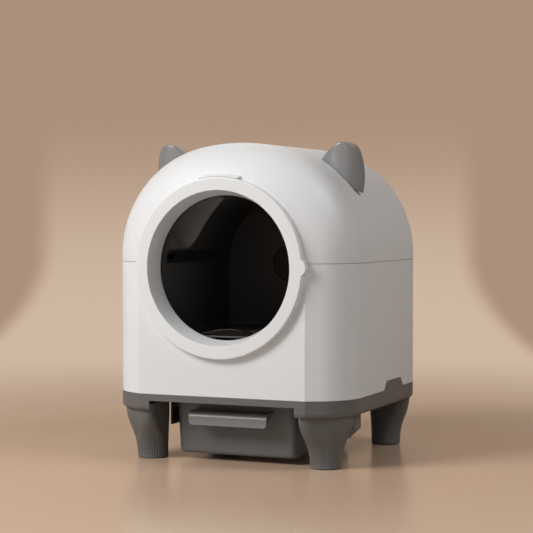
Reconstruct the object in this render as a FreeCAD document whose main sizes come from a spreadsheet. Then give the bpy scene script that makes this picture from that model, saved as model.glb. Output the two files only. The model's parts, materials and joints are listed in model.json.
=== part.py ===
# Self-cleaning litter box with a turning drum, a lift-off hood and a waste drawer, in millimetres.
# The origin is on the floor below the middle of the body. +Z is up and the entrance faces -Y.
import FreeCAD, Part
import math
import os
import Sketcher
from FreeCAD import Placement, Rotation, Vector

DRIVING_SIZES = [
    # Body outline seen from above
    ("body_half_width", 259.0, "middle to side wall"),
    ("front_reach", 246.0, "middle to front panel"),
    ("front_side_inset", 79.0, "side wall to the end of the flat front panel"),
    ("corner_angle", 29.0, "degrees that the front corner flat turns back"),
    ("corner_flat", 30.0, "length of the front corner flat"),
    ("rear_reach", 260.4, "middle to rear wall"),
    ("rear_corner", 88.0, "radius of the rear corners"),
    ("shell_wall", 3.0, "wall of hood and lower body"),
    # Heights of the body
    ("skirt_bottom", 105.0, "floor to lower edge of the base frame"),
    ("shell_bottom", 140.0, "floor to lower edge of the lower body"),
    ("seam_height", 405.0, "floor to seam between lower body and hood"),
    ("axis_height", 395.0, "floor to drum axis"),
    ("seam_gap", 0.8, "shadow gap at the seam"),
    ("lip_height", 6.0, "locating lip above the seam"),
    ("lip_root", 10.0, "locating lip below the seam"),
    ("lip_wall", 2.2, "thickness of the locating lip"),
    ("lip_gap", 0.5, "space between locating lip and hood"),
    # Hood arch seen from the front
    ("hood_rise", 251.0, "drum axis to crest of the hood"),
    ("shoulder_rise", 24.7, "drum axis to where the sides start to bend"),
    ("shoulder_radius", 222.5, "radius of the hood's shoulders"),
    # Ears
    ("ear_root_inset", 30.0, "side wall to the outer end of the ear's base"),
    ("ear_root_drop", 101.0, "crest of the hood down to the outer end of the ear's base"),
    ("ear_tip_inset", 64.0, "side wall to the middle of the ear's round tip"),
    ("ear_tip_drop", 29.0, "crest of the hood down to the middle of the ear's round tip"),
    ("ear_tip_radius", 31.0, "radius of the ear's round tip"),
    ("ear_side_radius", 147.0, "radius of the ear's bulging outer side"),
    ("ear_side_angle", 17.0, "degrees from +X to where the outer side ends"),
    ("ear_inner_angle", 127.0, "degrees from +X to where the straight inner side starts"),
    ("ear_inner_side", 60.0, "length of the ear's straight inner side"),
    ("ear_front", 80.0, "middle to the front of the ears, towards the entrance"),
    ("ear_depth", 30.0, "ear from front to back"),
    ("ear_bow_inset", 71.0, "side wall to the middle of the ear's bowed front"),
    ("ear_bow", 55.0, "radius of the ear's bowed front"),
    ("ear_edge", 4.0, "rounding of the ear's rim"),
    # Entrance ring
    ("ring_proud", 14.4, "ring face in front of the panel"),
    ("ring_outer", 179.7, "outer radius of the ring face"),
    ("ring_inner", 153.4, "inner radius of the ring face"),
    ("ring_edge", 3.0, "rounding of the ring's outer edge"),
    ("ring_mouth_edge", 1.2, "rounding of the ring's inner edge"),
    ("ring_wall", 2.8, "wall of the hollow ring"),
    ("ring_depth", 40.8, "ring face to the narrow rear end"),
    ("throat_radius", 144.2, "radius of the narrow rear end"),
    ("neck_radius", 156.0, "outer radius of the neck in the panel"),
    ("neck_depth", 24.4, "ring face to the end of the full neck"),
    ("lip_depth", 32.4, "ring face to the start of the thin rear lip"),
    ("ring_fit", 0.4, "space between neck and panel opening"),
    ("lug_half_height", 15.0, "half height of the side lug at its root"),
    ("lug_radius", 18.0, "radius of the lug's round end"),
    ("lug_sink", 0.8, "ring's outer radius to the lug's shoulders"),
    ("lug_edge", 0.8, "rounding of the lug's front edge"),
    ("lug_lift", 3.0, "middle of the lug above the drum axis"),
    ("led_half_width", 2.6, "half width of the status light"),
    ("led_half_height", 1.5, "half height of the status light"),
    ("led_depth", 2.0, "depth of the status light"),
    ("led_in_from_edge", 2.4, "status light inside the ring's outer radius"),
    ("led_lift", 12.2, "status light above the drum axis"),
    ("brow_angle", 27.0, "degrees that the brow above the ring spans"),
    ("brow_height", 5.4, "brow above the ring's outer radius"),
    ("brow_proud", 11.0, "brow's lower edge in front of the panel"),
    ("brow_top_proud", 0.5, "brow's upper edge in front of the panel"),
    # Base frame
    ("skirt_wall", 4.0, "wall of the base frame"),
    ("plate_bottom", 126.0, "floor to underside of the base plate"),
    ("plate_top", 130.0, "floor to upper side of the base plate"),
    ("base_round", 10.0, "rounding of the base frame's lower edge"),
    ("cutout_side_inset", 102.0, "side wall to the end of the front cut-out"),
    ("cutout_corner", 2.0, "rounding of the lower ends of the front cut-out"),
    ("tab_rise", 18.0, "side tab above the lower body's edge"),
    ("tab_front", -5.0, "front end of the side tab's root"),
    ("tab_rear", 119.0, "rear end of the side tab's root"),
    ("tab_slope", 17.0, "run of the side tab's slanted ends"),
    ("tab_gap", 0.4, "space around the side tab"),
    # Legs
    ("foot_radius", 31.0, "leg radius at the floor"),
    ("leg_side_inset", 67.5, "side wall to leg centre"),
    ("leg_front_inset", 84.3, "front panel to front leg centre"),
    ("leg_rear_inset", 55.6, "rear wall to rear leg centre"),
    ("leg_bottom", 1.5, "floor to the leg's lower rim"),
    ("leg_top", 118.0, "floor to the leg's top"),
    ("leg_low_height", 22.0, "floor to the leg's first drawn section"),
    ("leg_mid_height", 46.0, "floor to the leg's second drawn section"),
    ("leg_high_height", 74.0, "floor to the leg's third drawn section"),
    ("leg_full_height", 100.0, "floor to where the leg has its full flare"),
    ("leg_low_spread", 0.06, "part of the flare reached at the first section"),
    ("leg_mid_spread", 0.29, "part of the flare reached at the second section"),
    ("leg_high_spread", 0.75, "part of the flare reached at the third section"),
    ("leg_skirt_gap", 12.4, "body outline to the leg's top"),
    ("leg_flare_in", 2.9, "how far a front leg's top spreads inwards"),
    ("leg_rear_flare_in", 2.0, "how far a rear leg's top spreads inwards and forwards"),
    ("leg_inner_corner", 12.5, "radius of a front leg top's inner front corner"),
    ("leg_bend_corner", 24.0, "radius where a front leg's top turns with the body's corner"),
    ("leg_outer_corner", 60.0, "radius of a front leg top's outer corner"),
    ("leg_rear_corner", 64.0, "radius of a rear leg top's outer corner"),
    ("leg_side_corner", 24.0, "radius of the leg top's other corners"),
    ("leg_foot_corner", 30.0, "radius of the corners at the foot"),
    ("heel_start", 58.0, "floor to where the heel leaves a front leg"),
    ("heel_full", 76.0, "floor to where the heel has its full depth"),
    ("heel_start_depth", 28.5, "leg's middle to the back of the heel's lower end"),
    ("heel_front", 20.0, "leg's middle to the front of the heel, inside the leg"),
    ("heel_start_width", 41.0, "leg centre to the heel's side where it starts"),
    ("heel_width", 53.0, "leg centre to the heel's side"),
    ("heel_depth", 61.5, "leg centre to the heel's back"),
    ("heel_inner", 5.0, "how far the heel reaches inwards from the leg centre"),
    ("heel_corner", 6.0, "radius of the heel's corners"),
    ("flute_count", 12.0, "flutes on the front of a front leg"),
    ("flute_step", 10.0, "degrees between flutes"),
    ("flute_turn", 10.0, "degrees that the flutes are turned outwards"),
    ("flute_bottom", 6.0, "floor to the flutes' lower end"),
    ("flute_radius", 2.4, "radius of a flute at the foot"),
    ("flute_depth", 1.1, "depth of a flute at the foot"),
    ("flute_mid_radius", 2.0, "radius of a flute at the leg's second section"),
    ("flute_mid_depth", 0.8, "depth of a flute at the leg's second section"),
    ("flute_end_radius", 1.2, "radius of a flute at the leg's third section"),
    ("flute_end_rise", 0.6, "how far a flute has left the surface at the leg's third section"),
    ("pad_radius", 26.0, "foot pad radius"),
    ("pad_height", 4.0, "foot pad height"),
    ("pad_fit", 0.3, "space around the foot pad"),
    ("cell_length", 50.0, "load cell length"),
    ("cell_width", 14.0, "load cell width"),
    # Drum
    ("drum_radius", 205.0, "outer radius of the drum shell"),
    ("drum_wall", 3.0, "wall of the drum shell and liner"),
    ("drum_front", 205.0, "middle to the front end of the drum shell"),
    ("chamber_half_width", 146.0, "half width of the chamber"),
    ("chamber_floor", 137.0, "drum axis down to the chamber floor"),
    ("chamber_corner", 10.0, "radius of the chamber's floor corners"),
    ("chamber_back", 118.0, "middle to the chamber's rear wall"),
    ("collar_gap", 2.0, "space between ring lip and drum collar"),
    ("collar_wall", 3.0, "wall of the drum collar"),
    ("collar_length", 18.0, "drum collar in front of the drum plate"),
    ("seal_gap", 0.3, "space between collar seal and collar"),
    ("rim_radius", 188.0, "outer radius of the running rim"),
    ("rim_wall", 4.0, "wall of the running rim"),
    ("rim_length", 12.0, "running rim in front of the drum plate"),
    ("port_angle", 136.0, "degrees from +X to the middle of the waste port"),
    ("port_width", 150.0, "waste port across"),
    ("port_front", 198.0, "middle to the waste port's front edge"),
    ("port_rear", 60.0, "middle to the waste port's rear edge"),
    ("port_front_corner", 30.0, "radius of the port's front corners"),
    ("port_upper_corner", 105.0, "radius of the port's upper rear corner"),
    ("port_lower_corner", 40.0, "radius of the port's lower rear corner"),
    ("duct_wall", 2.5, "wall of the port duct"),
    ("sieve_bottom", 6.0, "drum axis to the sieve strip's lower edge"),
    ("sieve_top", 32.0, "drum axis to the sieve strip's upper edge"),
    ("sieve_front", 190.0, "middle to the sieve strip's front end"),
    ("sieve_rear", 104.0, "middle to the sieve strip's rear end"),
    ("slot_bottom", 14.0, "drum axis to the slots' lower edge"),
    ("slot_height", 10.0, "height of the slots"),
    ("slot_width", 9.0, "width of a narrow slot"),
    ("slot_pitch", 18.2, "spacing of the narrow slots"),
    ("first_slot_width", 37.0, "width of the long front slot"),
    ("slot_count", 13.0, "number of narrow slots"),
    ("sill_half_width", 62.0, "half width of the entry sill"),
    ("sill_rise", 14.0, "entry sill above the chamber floor"),
    ("sill_depth", 16.0, "entry sill from front to back"),
    # Axle and drive
    ("axle_radius", 8.0, "drum axle radius"),
    ("axle_fit", 0.06, "running clearance of axle, shaft and pins"),
    ("axle_rear", 158.0, "middle to the rear end of the axle"),
    ("hub_radius", 38.5, "hub cap radius"),
    ("hub_height", 6.0, "hub cap thickness"),
    ("flange_radius", 30.0, "axle flange radius"),
    ("flange_height", 3.0, "axle flange thickness"),
    ("bulkhead_front", 133.0, "middle to the bulkhead's front face"),
    ("bulkhead_wall", 4.0, "bulkhead thickness"),
    ("bulkhead_inset", 27.0, "side wall to the bulkhead's edge"),
    ("bulkhead_shoulder", 320.0, "floor to the bulkhead's shoulders"),
    ("bulkhead_top", 452.0, "floor to the bulkhead's top"),
    ("bulkhead_top_half", 62.0, "half width of the bulkhead's top"),
    ("bush_radius", 13.0, "bush sleeve radius"),
    ("bush_flange", 20.0, "bush flange radius"),
    ("bush_flange_height", 4.0, "bush flange thickness"),
    ("bush_length", 8.0, "bush sleeve length behind the flange"),
    ("clip_radius", 12.0, "axle clip outer radius"),
    ("clip_height", 1.5, "axle clip thickness"),
    ("gear_module", 3.5, "tooth size"),
    ("gear_teeth", 122.0, "teeth on the ring gear"),
    ("pinion_teeth", 14.0, "teeth on the pinion"),
    ("gear_backlash", 0.5, "play between the teeth"),
    ("gear_rear", 111.0, "middle to the gear's rear face"),
    ("gear_width", 14.0, "gear face width"),
    ("drive_angle", -55.0, "degrees from +X to the pinion"),
    ("shaft_radius", 4.0, "drive shaft radius"),
    ("gearbox_radius", 30.0, "gearbox radius"),
    ("gearbox_length", 28.0, "gearbox length"),
    ("motor_radius", 21.0, "motor radius"),
    ("motor_length", 48.0, "motor length"),
    # Support rollers
    ("roller_radius", 12.0, "support roller radius"),
    ("roller_width", 7.0, "support roller width"),
    ("roller_angle", 60.0, "degrees below the horizontal to each roller"),
    ("roller_gap", 0.3, "space between roller and rim"),
    ("pin_radius", 3.0, "roller pin radius"),
    ("bracket_wall", 4.0, "roller bracket thickness"),
    ("bracket_half_width", 15.0, "half width of the roller bracket"),
    ("bracket_foot", 28.0, "roller bracket foot length"),
    # Chute
    ("chute_half_width", 80.0, "half width of the chute's mouth"),
    ("chute_half_depth", 70.0, "half depth of the chute's mouth"),
    ("chute_top", 183.0, "floor to the chute's mouth"),
    ("chute_neck_half_width", 68.0, "half width of the chute's outlet"),
    ("chute_neck_half_depth", 58.0, "half depth of the chute's outlet"),
    ("chute_bottom", 123.0, "floor to the chute's outlet"),
    ("chute_wall", 2.5, "wall of the chute"),
    ("chute_flange", 8.0, "width of the chute's flange"),
    ("chute_centre", -60.0, "middle of the chute, towards the entrance"),
    # Drawer
    ("drawer_front", 174.0, "middle to the drawer's front face"),
    ("drawer_rear", 150.0, "middle to the drawer's rear face"),
    ("drawer_side_inset", 124.0, "side wall to the side of the drawer's top"),
    ("drawer_draft", 6.0, "how far the drawer's walls lean in at the bottom"),
    ("drawer_bottom", 13.5, "floor to the drawer's underside"),
    ("drawer_top", 118.0, "floor to the drawer's upper edge"),
    ("drawer_corner", 14.0, "radius of the drawer's corners"),
    ("drawer_edge", 8.0, "rounding of the drawer's lower edge"),
    ("drawer_wall", 2.5, "wall of the drawer"),
    ("bag_ledge_width", 3.0, "width of the ledge that carries the bag frame"),
    ("bag_ledge_height", 3.0, "thickness of the ledge that carries the bag frame"),
    ("rim_ledge", 7.0, "drawer rim beyond its side wall"),
    ("rim_ledge_height", 2.7, "drawer rim thickness"),
    ("rim_ledge_bottom", 108.0, "floor to the underside of the drawer rim"),
    ("runner_gap", 0.3, "space between drawer rim and runner"),
    ("runner_fit", 2.5, "drawer's side to the runner's inner edge"),
    ("runner_reach", 9.5, "drawer's side to the runner's web"),
    ("runner_wall", 4.0, "runner thickness"),
    ("runner_bottom", 70.0, "floor to the runner's lower edge"),
    ("runner_front", 166.0, "middle to the runner's front end"),
    ("runner_rear", 152.0, "middle to the runner's rear end"),
    ("handle_front", 213.0, "middle to the handle's front face"),
    ("handle_half_width", 85.0, "half width of the handle"),
    ("handle_bottom", 78.0, "floor to the handle's lower edge"),
    ("handle_top", 105.5, "floor to the handle's upper face"),
    ("handle_wall", 3.0, "handle thickness"),
    ("handle_corner", 8.0, "radius of the handle's lower corners"),
    ("handle_roll", 13.0, "outer radius where the handle rolls down in front"),
    ("handle_root", 15.0, "height of the handle's fixing flange"),
    ("handle_flange_inset", 12.0, "end of the handle to the end of its fixing flange"),
    ("bag_frame_width", 10.0, "width of the bag frame"),
    ("bag_frame_height", 3.0, "bag frame thickness"),
    ("bag_frame_gap", 0.4, "space between bag frame and drawer wall"),
    ("bag_frame_bottom", 108.0, "floor to the bag frame's underside"),
    # Rear cover and electrics
    ("cover_half_width", 150.0, "half width of the rear cover"),
    ("cover_bottom", 165.0, "floor to the rear cover's lower edge"),
    ("cover_top", 355.0, "floor to the rear cover's upper edge"),
    ("cover_corner", 12.0, "radius of the rear cover's corners"),
    ("cover_fit", 0.3, "space around the rear cover"),
    ("cover_ledge", 9.0, "width of the ledge behind the rear cover"),
    ("vent_width", 120.0, "width of a vent slot"),
    ("vent_height", 4.0, "height of a vent slot"),
    ("vent_pitch", 10.0, "spacing of the vent slots"),
    ("vent_count", 7.0, "number of vent slots"),
    ("vent_bottom", 265.0, "floor to the lowest vent slot"),
    ("inlet_x", 95.0, "middle to the power inlet"),
    ("inlet_z", 195.0, "floor to the power inlet"),
    ("inlet_radius", 6.5, "power inlet barrel radius"),
    ("inlet_bore", 2.8, "power inlet bore radius"),
    ("inlet_flange", 9.0, "power inlet flange radius"),
    ("inlet_flange_height", 2.0, "power inlet flange thickness"),
    ("inlet_length", 16.0, "power inlet barrel length"),
    ("inlet_bore_length", 9.0, "power inlet bore depth"),
    ("board_x", -90.0, "middle of the control board, sideways"),
    ("board_z", 230.0, "floor to the middle of the control board"),
    ("board_width", 120.0, "control board width"),
    ("board_height", 84.0, "control board height"),
    ("board_wall", 1.6, "control board thickness"),
    ("board_standoff", 8.0, "spacer length behind the bulkhead"),
    ("spacer_radius", 3.5, "spacer radius"),
    ("spacer_inset", 8.0, "spacer centre inside the board's edge"),
    ("sensor_radius_at", 180.0, "drum axis to magnet and hall sensor"),
    ("magnet_radius", 6.0, "position magnet radius"),
    ("magnet_height", 3.0, "position magnet thickness"),
    ("sensor_size", 16.0, "hall sensor width"),
    ("sensor_height", 4.0, "hall sensor thickness"),
    # Screws
    ("screw_radius", 2.0, "screw shank radius"),
    ("screw_head", 3.8, "screw head radius"),
    ("screw_head_height", 2.4, "screw head height"),
    ("screw_length", 9.0, "screw shank length"),
    ("leg_screw_length", 20.0, "leg screw shank length"),
    ("screw_fit", 0.15, "space around a screw"),
    ("boss_radius", 5.0, "radius of a screw boss"),
    ("cover_screw_inset", 4.5, "cover screw inside the cover's edge"),
    ("ring_screw_radius", 168.0, "drum axis to the ring screws"),
    ("motor_screw_radius", 25.0, "shaft to the motor screws"),
    ("leg_screw_spread", 16.0, "load cell centre to its screws"),
    ("handle_screw_x", 60.0, "middle to the handle screws"),
]

DOC = FreeCAD.newDocument("litter_box")
PARTS = {}


class Size:
    """A number that keeps the spreadsheet formula it comes from."""

    def __init__(self, value, formula):
        self.value = float(value)
        self.formula = formula

    def _with(self, other, sign, value):
        return Size(value, "(%s %s %s)" % (self.formula, sign, other.formula))

    def __add__(self, other):
        other = as_size(other)
        return self._with(other, "+", self.value + other.value)

    def __sub__(self, other):
        other = as_size(other)
        return self._with(other, "-", self.value - other.value)

    def __mul__(self, other):
        other = as_size(other)
        return self._with(other, "*", self.value * other.value)

    def __truediv__(self, other):
        other = as_size(other)
        return self._with(other, "/", self.value / other.value)

    def __radd__(self, other):
        return as_size(other) + self

    def __rsub__(self, other):
        return as_size(other) - self

    def __rmul__(self, other):
        return as_size(other) * self

    def __neg__(self):
        return as_size(0) - self


def as_size(number):
    """Turn a plain number into a Size."""
    if isinstance(number, Size):
        return number
    return Size(number, repr(float(number)))


def sine(angle):
    angle = as_size(angle)
    return Size(math.sin(math.radians(angle.value)), "sin(%s)" % angle.formula)


def cosine(angle):
    angle = as_size(angle)
    return Size(math.cos(math.radians(angle.value)), "cos(%s)" % angle.formula)


def tangent(angle):
    return sine(angle) / cosine(angle)


def arc_tangent(slope):
    return Size(math.degrees(math.atan(slope.value)), "atan(%s)" % slope.formula)


class Sizes:
    """The driving dimensions, by name."""


def make_sheet():
    """Write the driving dimensions into the spreadsheet and return them by name."""
    sheet = DOC.addObject("Spreadsheet::Sheet", "Sizes")
    sizes = Sizes()
    for row, (name, value, note) in enumerate(DRIVING_SIZES, start=1):
        sheet.set("A%d" % row, name)
        sheet.set("B%d" % row, str(value))
        sheet.set("C%d" % row, note)
        sheet.setAlias("B%d" % row, name)
        setattr(sizes, name, Size(value, "Sizes." + name))
    DOC.recompute()
    return sizes


s = make_sheet()

# Places that several pieces share, worked out from the driving dimensions
front_half = s.body_half_width - s.front_side_inset
drawer_half = s.body_half_width - s.drawer_side_inset
cutout_half = s.body_half_width - s.cutout_side_inset
corner_radius = ((s.body_half_width - front_half - s.corner_flat * cosine(s.corner_angle))
                 / (1 - sine(s.corner_angle)))
bend_x = front_half + s.corner_flat * cosine(s.corner_angle)
bend_y = s.corner_flat * sine(s.corner_angle) - s.front_reach
side_start_y = bend_y + corner_radius * cosine(s.corner_angle)
side_end_y = s.rear_reach - s.rear_corner
ring_face_y = -s.front_reach - s.ring_proud
panel_opening = s.neck_radius + s.ring_fit
lip_radius = s.throat_radius + s.ring_wall
collar_inner = lip_radius + s.collar_gap
collar_outer = collar_inner + s.collar_wall
shell_inner = s.drum_radius - s.drum_wall
liner_back_y = s.chamber_back + s.drum_wall
drum_back_y = liner_back_y + s.drum_wall
plate_front_y = -s.drum_front - s.drum_wall
bulkhead_rear_y = s.bulkhead_front + s.bulkhead_wall
gear_radius = s.gear_module * s.gear_teeth / 2
pinion_radius = s.gear_module * s.pinion_teeth / 2
drive_reach = gear_radius + pinion_radius
drive_x = drive_reach * cosine(s.drive_angle)
drive_z = s.axis_height + drive_reach * sine(s.drive_angle)
roller_reach = s.rim_radius + s.roller_gap + s.roller_radius
roller_x = roller_reach * cosine(s.roller_angle)
roller_z = s.axis_height - roller_reach * sine(s.roller_angle)
screw_hole = s.screw_radius + s.screw_fit
ear_root_x = s.body_half_width - s.ear_root_inset
ear_root_z = s.hood_rise - s.ear_root_drop
ear_tip_x = s.body_half_width - s.ear_tip_inset
ear_tip_z = s.hood_rise - s.ear_tip_drop
leg_x = s.body_half_width - s.leg_side_inset
leg_front_y = s.front_reach - s.leg_front_inset
leg_rear_y = s.rear_reach - s.leg_rear_inset
bulkhead_half = s.body_half_width - s.bulkhead_inset
MARGIN = as_size(1)


def named(obj, name):
    """Register a finished piece under its node name."""
    obj.Label = name
    PARTS[name] = obj
    return obj


def new_body(name):
    return DOC.addObject("PartDesign::Body", name)


def sketch_on(body, plane, place=None, lift=None):
    """Open a sketch on one of the body's own planes, moved along its normal and, with lift, up the plane."""
    sketch = body.newObject("Sketcher::SketchObject", body.Name + "_sketch")
    origin_plane = [item for item in body.Origin.OriginFeatures if item.Role == plane + "_Plane"][0]
    sketch.AttachmentSupport = [(origin_plane, "")]
    sketch.MapMode = "FlatFace"
    if place is not None:
        sketch.setExpression("AttachmentOffset.Base.z", as_size(place).formula)
    if lift is not None:
        sketch.setExpression("AttachmentOffset.Base.y", as_size(lift).formula)
    return sketch


def arc_middle(start, end, radius, turn):
    """Centre of the arc that joins two points and bends left or right by less than a half turn."""
    middle = (start + end) * 0.5
    chord = end - start
    side = Vector(-chord.y, chord.x, 0)
    side.normalize()
    offset = math.sqrt(max(radius ** 2 - (chord.Length / 2) ** 2, 0))
    return middle + side * (offset if turn == "left" else -offset)


def bind(sketch, rules, bindings):
    """Add dimension rules and tie each one to its formula."""
    base = sketch.ConstraintCount
    sketch.addConstraint(rules)
    for index, size in bindings:
        sketch.setExpression("Constraints[%d]" % (base + index), size.formula)


def trace(sketch, stops):
    """Draw a closed outline. A stop is (x, y), or (x, y, radius, turn) where an arc runs to the next stop."""
    stops = [tuple(as_size(item) if index < 3 else item for index, item in enumerate(stop)) for stop in stops]
    first = sketch.GeometryCount
    shapes, starts, ends = [], [], []
    for stop, target in zip(stops, stops[1:] + stops[:1]):
        start = Vector(stop[0].value, stop[1].value, 0)
        end = Vector(target[0].value, target[1].value, 0)
        backwards = len(stop) > 2 and stop[3] == "right"
        if len(stop) == 2:
            shapes.append(Part.LineSegment(start, end))
        else:
            middle = arc_middle(start, end, stop[2].value, stop[3])
            if backwards:
                start, end = end, start
            angles = [math.atan2(point.y - middle.y, point.x - middle.x) for point in (start, end)]
            circle = Part.Circle(middle, Vector(0, 0, 1), stop[2].value)
            shapes.append(Part.ArcOfCircle(circle, angles[0], angles[1]))
        starts.append(2 if backwards else 1)
        ends.append(1 if backwards else 2)
    sketch.addGeometry(shapes, False)
    rules, bindings = [], []
    for index, stop in enumerate(stops):
        after = (index + 1) % len(stops)
        item = first + index
        rules.append(Sketcher.Constraint("Coincident", item, ends[index], first + after, starts[after]))
        for kind, size in (("DistanceX", stop[0]), ("DistanceY", stop[1])):
            bindings.append((len(rules), size))
            rules.append(Sketcher.Constraint(kind, -1, 1, item, starts[index], size.value))
        if len(stop) > 2:
            bindings.append((len(rules), stop[2]))
            rules.append(Sketcher.Constraint("Radius", item, stop[2].value))
    bind(sketch, rules, bindings)
    return sketch


def disc(sketch, x, y, radius):
    """Draw a full circle."""
    x, y, radius = as_size(x), as_size(y), as_size(radius)
    item = sketch.GeometryCount
    sketch.addGeometry(Part.Circle(Vector(x.value, y.value, 0), Vector(0, 0, 1), radius.value), False)
    rules = [Sketcher.Constraint("DistanceX", -1, 1, item, 3, x.value),
             Sketcher.Constraint("DistanceY", -1, 1, item, 3, y.value),
             Sketcher.Constraint("Radius", item, radius.value)]
    bind(sketch, rules, [(0, x), (1, y), (2, radius)])
    return sketch


def rounded(x_low, y_low, x_high, y_high, radii):
    """Outline of a rectangle with its own radius at each corner, anticlockwise from the low corner."""
    a, b, c, d = radii if isinstance(radii, (list, tuple)) else [radii] * 4
    return [(x_low + a, y_low), (x_high - b, y_low, b, "left"), (x_high, y_low + b),
            (x_high, y_high - c, c, "left"), (x_high - c, y_high), (x_low + d, y_high, d, "left"),
            (x_low, y_high - d), (x_low, y_low + a, a, "left")]


def box(x_low, y_low, x_high, y_high):
    """Outline of a plain rectangle."""
    return [(x_low, y_low), (x_high, y_low), (x_high, y_high), (x_low, y_high)]


def feature(body, kind, sketch, length=None, reverse=False, both=False, angle=None, axis="V_Axis"):
    """Grow from a sketch, or cut with it."""
    item = body.newObject("PartDesign::" + kind, body.Name + "_" + kind.lower())
    item.Profile = sketch
    if length is not None:
        item.setExpression("Length", as_size(length).formula)
    if angle is not None:
        item.ReferenceAxis = (sketch, [axis])
        item.setExpression("Angle", as_size(angle).formula)
    item.Reversed = reverse
    if both and angle is None:
        item.SideType = "Symmetric"
    if both and angle is not None:
        item.Midplane = True
    sketch.Visibility = False
    return item


def pad(body, sketch, length, reverse=False, both=False, taper=None):
    item = feature(body, "Pad", sketch, length, reverse, both)
    if taper is not None:
        item.setExpression("TaperAngle", taper.formula)
    return item


def pocket(body, sketch, length, reverse=False, both=False, taper=None):
    item = feature(body, "Pocket", sketch, length, reverse, both)
    if taper is not None:
        item.setExpression("TaperAngle", taper.formula)
    return item


def revolve(body, sketch, angle=360, axis="V_Axis", both=False):
    return feature(body, "Revolution", sketch, angle=angle, axis=axis, both=both)


def loft(body, kind, sketches, ruled=False):
    """Blend a row of sketches into a solid, or cut that solid away."""
    item = body.newObject("PartDesign::" + kind, body.Name + "_" + kind.lower())
    item.Profile = sketches[0]
    item.Sections = sketches[1:]
    item.Ruled = ruled
    return item


def edges_of(item, test):
    """Names of the edges whose middle point passes a test."""
    names = []
    for index, edge in enumerate(item.Shape.Edges, start=1):
        middle = edge.valueAt((edge.FirstParameter + edge.LastParameter) / 2)
        if test(edge, middle):
            names.append("Edge%d" % index)
    return names


def fillet(body, radius, test):
    """Round the edges of the body's last feature that pass a test."""
    DOC.recompute()
    base = body.Tip
    item = body.newObject("PartDesign::Fillet", body.Name + "_fillet")
    item.Base = (base, edges_of(base, test))
    item.setExpression("Radius", radius.formula)
    return item


def cylinder(name, radius, length, x, y, z, along="z"):
    """A plain round piece that starts at a point and runs along +X, +Y or +Z."""
    item = DOC.addObject("Part::Cylinder", name)
    item.setExpression("Radius", as_size(radius).formula)
    item.setExpression("Height", as_size(length).formula)
    turn = {"x": Rotation(Vector(0, 1, 0), 90), "y": Rotation(Vector(1, 0, 0), -90), "z": Rotation()}[along]
    item.Placement.Rotation = turn
    place(item, x, y, z)
    return item


def block(name, low, high):
    """A plain box between two corners."""
    item = DOC.addObject("Part::Box", name)
    for prop, start, end in zip(("Length", "Width", "Height"), low, high):
        item.setExpression(prop, (as_size(end) - as_size(start)).formula)
    place(item, *low)
    return item


def place(item, x, y, z):
    for axis, size in zip("xyz", (x, y, z)):
        item.setExpression("Placement.Base." + axis, as_size(size).formula)


def joined(kind, name, base, tool):
    """Join two objects by a Part boolean: Cut, Common or Fuse."""
    item = DOC.addObject("Part::" + kind, name)
    item.Base = base
    item.Tool = tool
    return item


def group(name, items):
    """Keep like pieces as separate solids of one object."""
    item = DOC.addObject("Part::Compound", name)
    item.Links = items
    return item


def plan(inset):
    """Body outline seen from above, moved inwards by a wall, from the front left corner anticlockwise."""
    inset = as_size(inset)
    front_x = front_half - inset * tangent(s.corner_angle / 2)
    front_y = inset - s.front_reach
    turn_x = bend_x - inset * sine(s.corner_angle)
    turn_y = bend_y + inset * cosine(s.corner_angle)
    side_x = s.body_half_width - inset
    back_x = s.body_half_width - s.rear_corner
    back_y = s.rear_reach - inset
    front_bend = corner_radius - inset
    rear_bend = s.rear_corner - inset
    return [(-front_x, front_y), (front_x, front_y), (turn_x, turn_y, front_bend, "left"),
            (side_x, side_start_y), (side_x, side_end_y, rear_bend, "left"), (back_x, back_y),
            (-back_x, back_y, rear_bend, "left"), (-side_x, side_end_y),
            (-side_x, side_start_y, front_bend, "left"), (-turn_x, turn_y)]


def arch(scale, inset):
    """Hood outline seen from the front, above the drum axis: straight sides, shoulders and a flatter crest."""
    inset = as_size(inset)
    wide = scale * s.body_half_width - inset
    high = scale * s.hood_rise - inset
    bend = scale * s.shoulder_rise
    small = scale * s.shoulder_radius - inset
    across = wide - small
    above = high - bend
    large = (across * across + above * above - small * small) / (2 * (above - small))
    share = large / (large - small)
    meet_x = across * share
    meet_y = high - large + (bend - high + large) * share
    return [(-wide, 0), (wide, 0), (wide, bend, small, "left"), (meet_x, meet_y, large, "left"),
            (-meet_x, meet_y, small, "left"), (-wide, bend)]


def hood_stations(inset):
    """Rows of (y, scale, inset) where the hood's cross-section is drawn: front corner, then rear corner."""
    steps = 5
    front, rear = [], []
    for step in range(steps + 1):
        angle = s.corner_angle + (90 - s.corner_angle) * (step / steps)
        x = s.body_half_width - corner_radius + corner_radius * sine(angle)
        y = side_start_y - corner_radius * cosine(angle)
        front.append((y + inset * cosine(angle), x / s.body_half_width, inset * sine(angle)))
        angle = as_size(90.0 * step / steps)
        x = s.body_half_width - s.rear_corner + s.rear_corner * cosine(angle)
        y = side_end_y + s.rear_corner * sine(angle)
        rear.append((y - inset * sine(angle), x / s.body_half_width, inset * cosine(angle)))
    return front, rear


def arch_sketch(body, y, scale, inset):
    return trace(sketch_on(body, "XZ", -y, s.axis_height), arch(scale, inset))


def hood_volume(body, inset, loft_kind, sweep):
    """Grow or cut the hood's dome: corner flat, front corner, straight run and rear corner."""
    front, rear = hood_stations(inset)
    face_scale = front_half / s.body_half_width
    face_inset = inset * tangent(s.corner_angle / 2)
    face = (inset - s.front_reach, face_scale, face_inset)
    loft(body, loft_kind, [arch_sketch(body, *face), arch_sketch(body, *front[0])], ruled=True)
    loft(body, loft_kind, [arch_sketch(body, *station) for station in front])
    sweep(body, arch_sketch(body, *front[-1]), side_end_y - side_start_y)
    loft(body, loft_kind, [arch_sketch(body, *station) for station in rear])


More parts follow.
